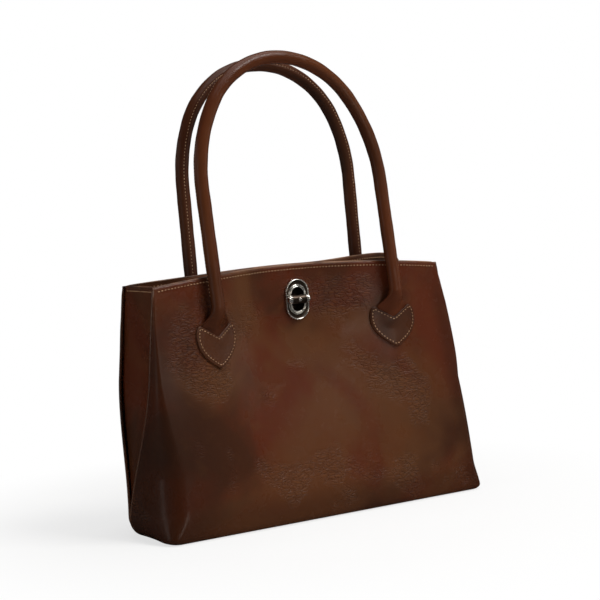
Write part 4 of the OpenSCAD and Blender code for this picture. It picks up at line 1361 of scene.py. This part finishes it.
print("oval sweep ready")

# %% Eyelet plate and base
eyelet_profile = [
    (12.45, 6.5, 0.02), (12.72, 6.5, 0.35), (12.75, 6.5, 2.2), (12.6, 6.5, 2.72), (12.25, 6.5, 2.97),
    (12.0, 6.5, 2.96), (11.75, 6.5, 2.8), (11.6, 6.5, 2.3), (11.5, 6.45, 1.5), (11.2, 6.35, 1.26),
    (10.4, 5.6, 1.2), (9.95, 4.75, 1.22), (9.75, 4.55, 1.4), (9.7, 4.5, 2.0), (9.5, 4.5, 2.32),
    (9.2, 4.5, 2.42), (8.9, 4.5, 2.32), (8.72, 4.5, 2.0), (8.7, 4.5, -4.6), (9.7, 4.5, -4.6),
    (9.7, 4.5, 0.02)]
collar_profile = [
    (11.5, 6.0, -11.78), (11.8, 6.0, -11.5), (11.8, 6.0, -9.8), (11.4, 6.0, -9.42), (8.4, 4.5, -9.4),
    (8.3, 4.5, -9.0), (8.3, 4.5, 2.4), (8.15, 4.5, 2.95), (7.8, 4.5, 3.18), (7.3, 4.5, 3.18),
    (6.95, 4.5, 2.95), (6.8, 4.5, 2.4), (6.8, 4.5, -8.8), (6.4, 4.5, -9.4), (3.2, 0.3, -9.4),
    (3.15, 0.3, -11.78)]
add_oval_piece("eyelet_rim", eyelet_profile, [(8, 12)], "lock_eyelet_plate")
add_oval_piece("lock_collar", collar_profile, [(3, 5), (10, 15)], "lock_base")


def add_turned(name, profile, material, body="bag", sides=40):
    """A turned piece: radius and height pairs, from the back to the front."""
    c, s = ring_of(sides)
    rings = [lock_place(r * c, r * s, z) for r, z in profile]
    dress(add_tube(name, rings), [material], body=body)


add_turned("lock_post", [(4.6, -9.45), (4.6, -8.9), (3.4, -8.5), (3.0, -8.0), (3.0, 2.6), (2.8, 3.05),
                         (2.4, 3.2), (1.6, 3.2)], nickel)
print("lock:", made[-3:])

# %% Knob
knob_reach, knob_low, knob_edge, knob_wide, knob_high = 12.2, 3.4, 0.35, 4.3, 4.15
rib_from, rib_to, rib_pitch, rib_high, waist_reach, waist_deep = 7.4, 11.4, 1.15, 0.17, 6, 0.35
knob_under, arc_steps, dark_reflection_from, dark_reflection_to = [3.42, 3.4, 3.42], 19, 22, 101
tips = np.array([11.8, 12.0, 12.12, 12.19])


def knob_rings():
    """A half-round bar with soft ends, ribbed for the fingers, across the lock."""
    rings = []
    a = np.linspace(0, np.pi, arc_steps)
    for x in np.concatenate([-tips[::-1], np.linspace(-11.5, 11.5, 116), tips]):
        end = (1 - min(1.0, abs(x) / knob_reach) ** 7) ** 0.5
        rib = 0.0
        if rib_from < abs(x) < rib_to:
            rib = rib_high * math.cos(2 * math.pi * (abs(x) - rib_from) / rib_pitch)
        waist = waist_deep * math.cos(math.pi * min(1, abs(x) / waist_reach))
        wide = (knob_wide - 0.15 * waist + rib) * end
        high = (knob_high - 0.2 * waist + rib) * mix(0.55, 1, end)
        y = np.concatenate([-wide * np.cos(a), [wide * 0.93, 0.0, -wide * 0.93]])
        z = np.concatenate([knob_low + knob_edge + (high - knob_edge) * np.sin(a), knob_under])
        rings.append(lock_place(x, y, z))
    return np.array(rings)


knob = add_tube("turn_knob", knob_rings()[:, ::-1])
# The middle of the bar, between its ribbed ends, gets the dark metal: a painted dark reflection on the top of
# the knob.
mark_rings(knob, dark_reflection_from, dark_reflection_to, arc_steps + len(knob_under))
dress(knob, [nickel, tarnish_and_dark_reflection], ["lock_knob"], body="knob")
add_turned("knob_stem", [(1.2, -11.4), (1.5, -11.1), (1.5, 3.6)], steel, "knob")
dome_profile = [(1.9, 6.9), (1.85, 7.5), (1.5, 7.85), (0.9, 8.02), (0.3, 8.06)]
add_turned("knob_rivet_dome", dome_profile, nickel, "knob")
print("knob:", made[-3:])

# %% Carried-over metal
for name in ("lock_backing_plate", "lock_spring_washer", "lock_spindle_retainer", "lock_rivets"):
    piece = frame["nodes"][name]
    piece.data.materials.clear()
    piece.data.materials.append(nickel if name == "lock_rivets" else steel)
print("carried over:", sum(1 for n in frame["nodes"].values() if not n.hide_render))

# %% [markdown]
# ## Floor and light
# The bag stands on a pale floor. A tall soft light on the left draws the pale line along the
# corner and the handles, and a broad one above lights the floor and the top edges. A low one in
# front gives the leather its sheen, and the strip on the right and the lamp at the back left keep
# the metal and the far edges clear. In reflections the floor is dark felt, which keeps the leather
# deep. Away from the bag the floor and the surroundings turn white, but only for the camera.

# %% Surroundings
def ray(tree, kind):
    return node(tree, "LightPath").outputs[kind]


world = bpy.data.worlds.new("studio_surroundings")
bpy.context.scene.world = world
world.use_nodes = True
tree = world.node_tree
tree.nodes.clear()
soft_light = node(tree, "Background", {0: (1, 0.985, 0.965, 1), 1: 0.05}).outputs[0]
white_wall = node(tree, "Background", {0: (1, 1, 1, 1), 1: 1.0}).outputs[0]
choose = node(tree, "MixShader", {0: ray(tree, "Is Camera Ray"), 1: soft_light, 2: white_wall}).outputs[0]
node(tree, "OutputWorld", {0: choose})
lay_out(tree)
print("surroundings ready")

# %% Floor
floor_reach = 30.0
floor_mesh = bpy.data.meshes.new("studio_floor")
corners = [(x * floor_reach, y * floor_reach, 0) for x, y in ((-1, -1), (1, -1), (1, 1), (-1, 1))]
floor_mesh.from_pydata(corners, [], [(0, 1, 2, 3)])
floor_material, tree, where = new_material("studio_floor_white")
matt = node(tree, "BsdfDiffuse", {0: (0.93, 0.93, 0.93, 1)}).outputs[0]
dark_felt = node(tree, "BsdfDiffuse", {0: (0.12, 0.12, 0.12, 1)}).outputs[0]
for_shine = node(tree, "MixShader", {0: ray(tree, "Is Glossy Ray"), 1: matt, 2: dark_felt}).outputs[0]
far = node(tree, "VectorMath", {0: where}, operation="LENGTH").outputs["Value"]
whiter = times(tree, ranged(tree, far, 0.2, 0.42, 0.7, 1.0), ray(tree, "Is Camera Ray"))
pick = node(tree, "MixShader", {0: whiter, 1: for_shine, 2: node(tree, "Emission").outputs[0]}).outputs[0]
node(tree, "OutputMaterial", {0: pick})
lay_out(tree)
floor_mesh.materials.append(floor_material)
put_in_scene("studio_floor", floor_mesh)
print("floor ready")

# %% Lamps
def add_lamp(name, where, towards, size, power, colour=(1, 1, 1), on_matt=1.0):
    """A soft rectangular lamp; on_matt is its share of light on matt surfaces."""
    data = bpy.data.lights.new(name, "AREA")
    data.shape = "RECTANGLE"
    data.size, data.size_y = size
    data.energy, data.color, data.diffuse_factor = power, colour, on_matt
    lamp = put_in_scene(name, data)
    lamp.rotation_euler = Vector(np.subtract(towards, where)).to_track_quat("-Z", "Y").to_euler()
    lamp.location = where
    print("lamp:", name)


add_lamp("front_key", (0.75, -1.15, 1.85), (0, 0, 0.15), (0.8, 0.7), 30, (1, 0.985, 0.96))
add_lamp("overhead", (0.2, -0.1, 1.9), (0, 0, 0.1), (1.8, 1.4), 17)
add_lamp("left_strip", (-1.9, -0.15, 0.6), (0, 0, 0.2), (0.3, 1.3), 3.6, (1, 1, 0.95))
add_lamp("sheen", (0.16, -1.85, 0.45), (0.05, 0, 0.18), (0.5, 0.3), 3, (1, 0.92, 0.82), 0.25)
add_lamp("right_strip", (1.7, -0.9, 0.7), (0, 0, 0.2), (0.25, 1.2), 2.5, (1, 1, 0.97), 0.4)
add_lamp("back_left", (-1.5, 1.3, 0.9), (0, 0, 0.2), (0.6, 0.6), 2.0)

# %% [markdown]
# ## Last count
# The number of pieces made is printed.

# %% Count the pieces
print("pieces made:", len(made))
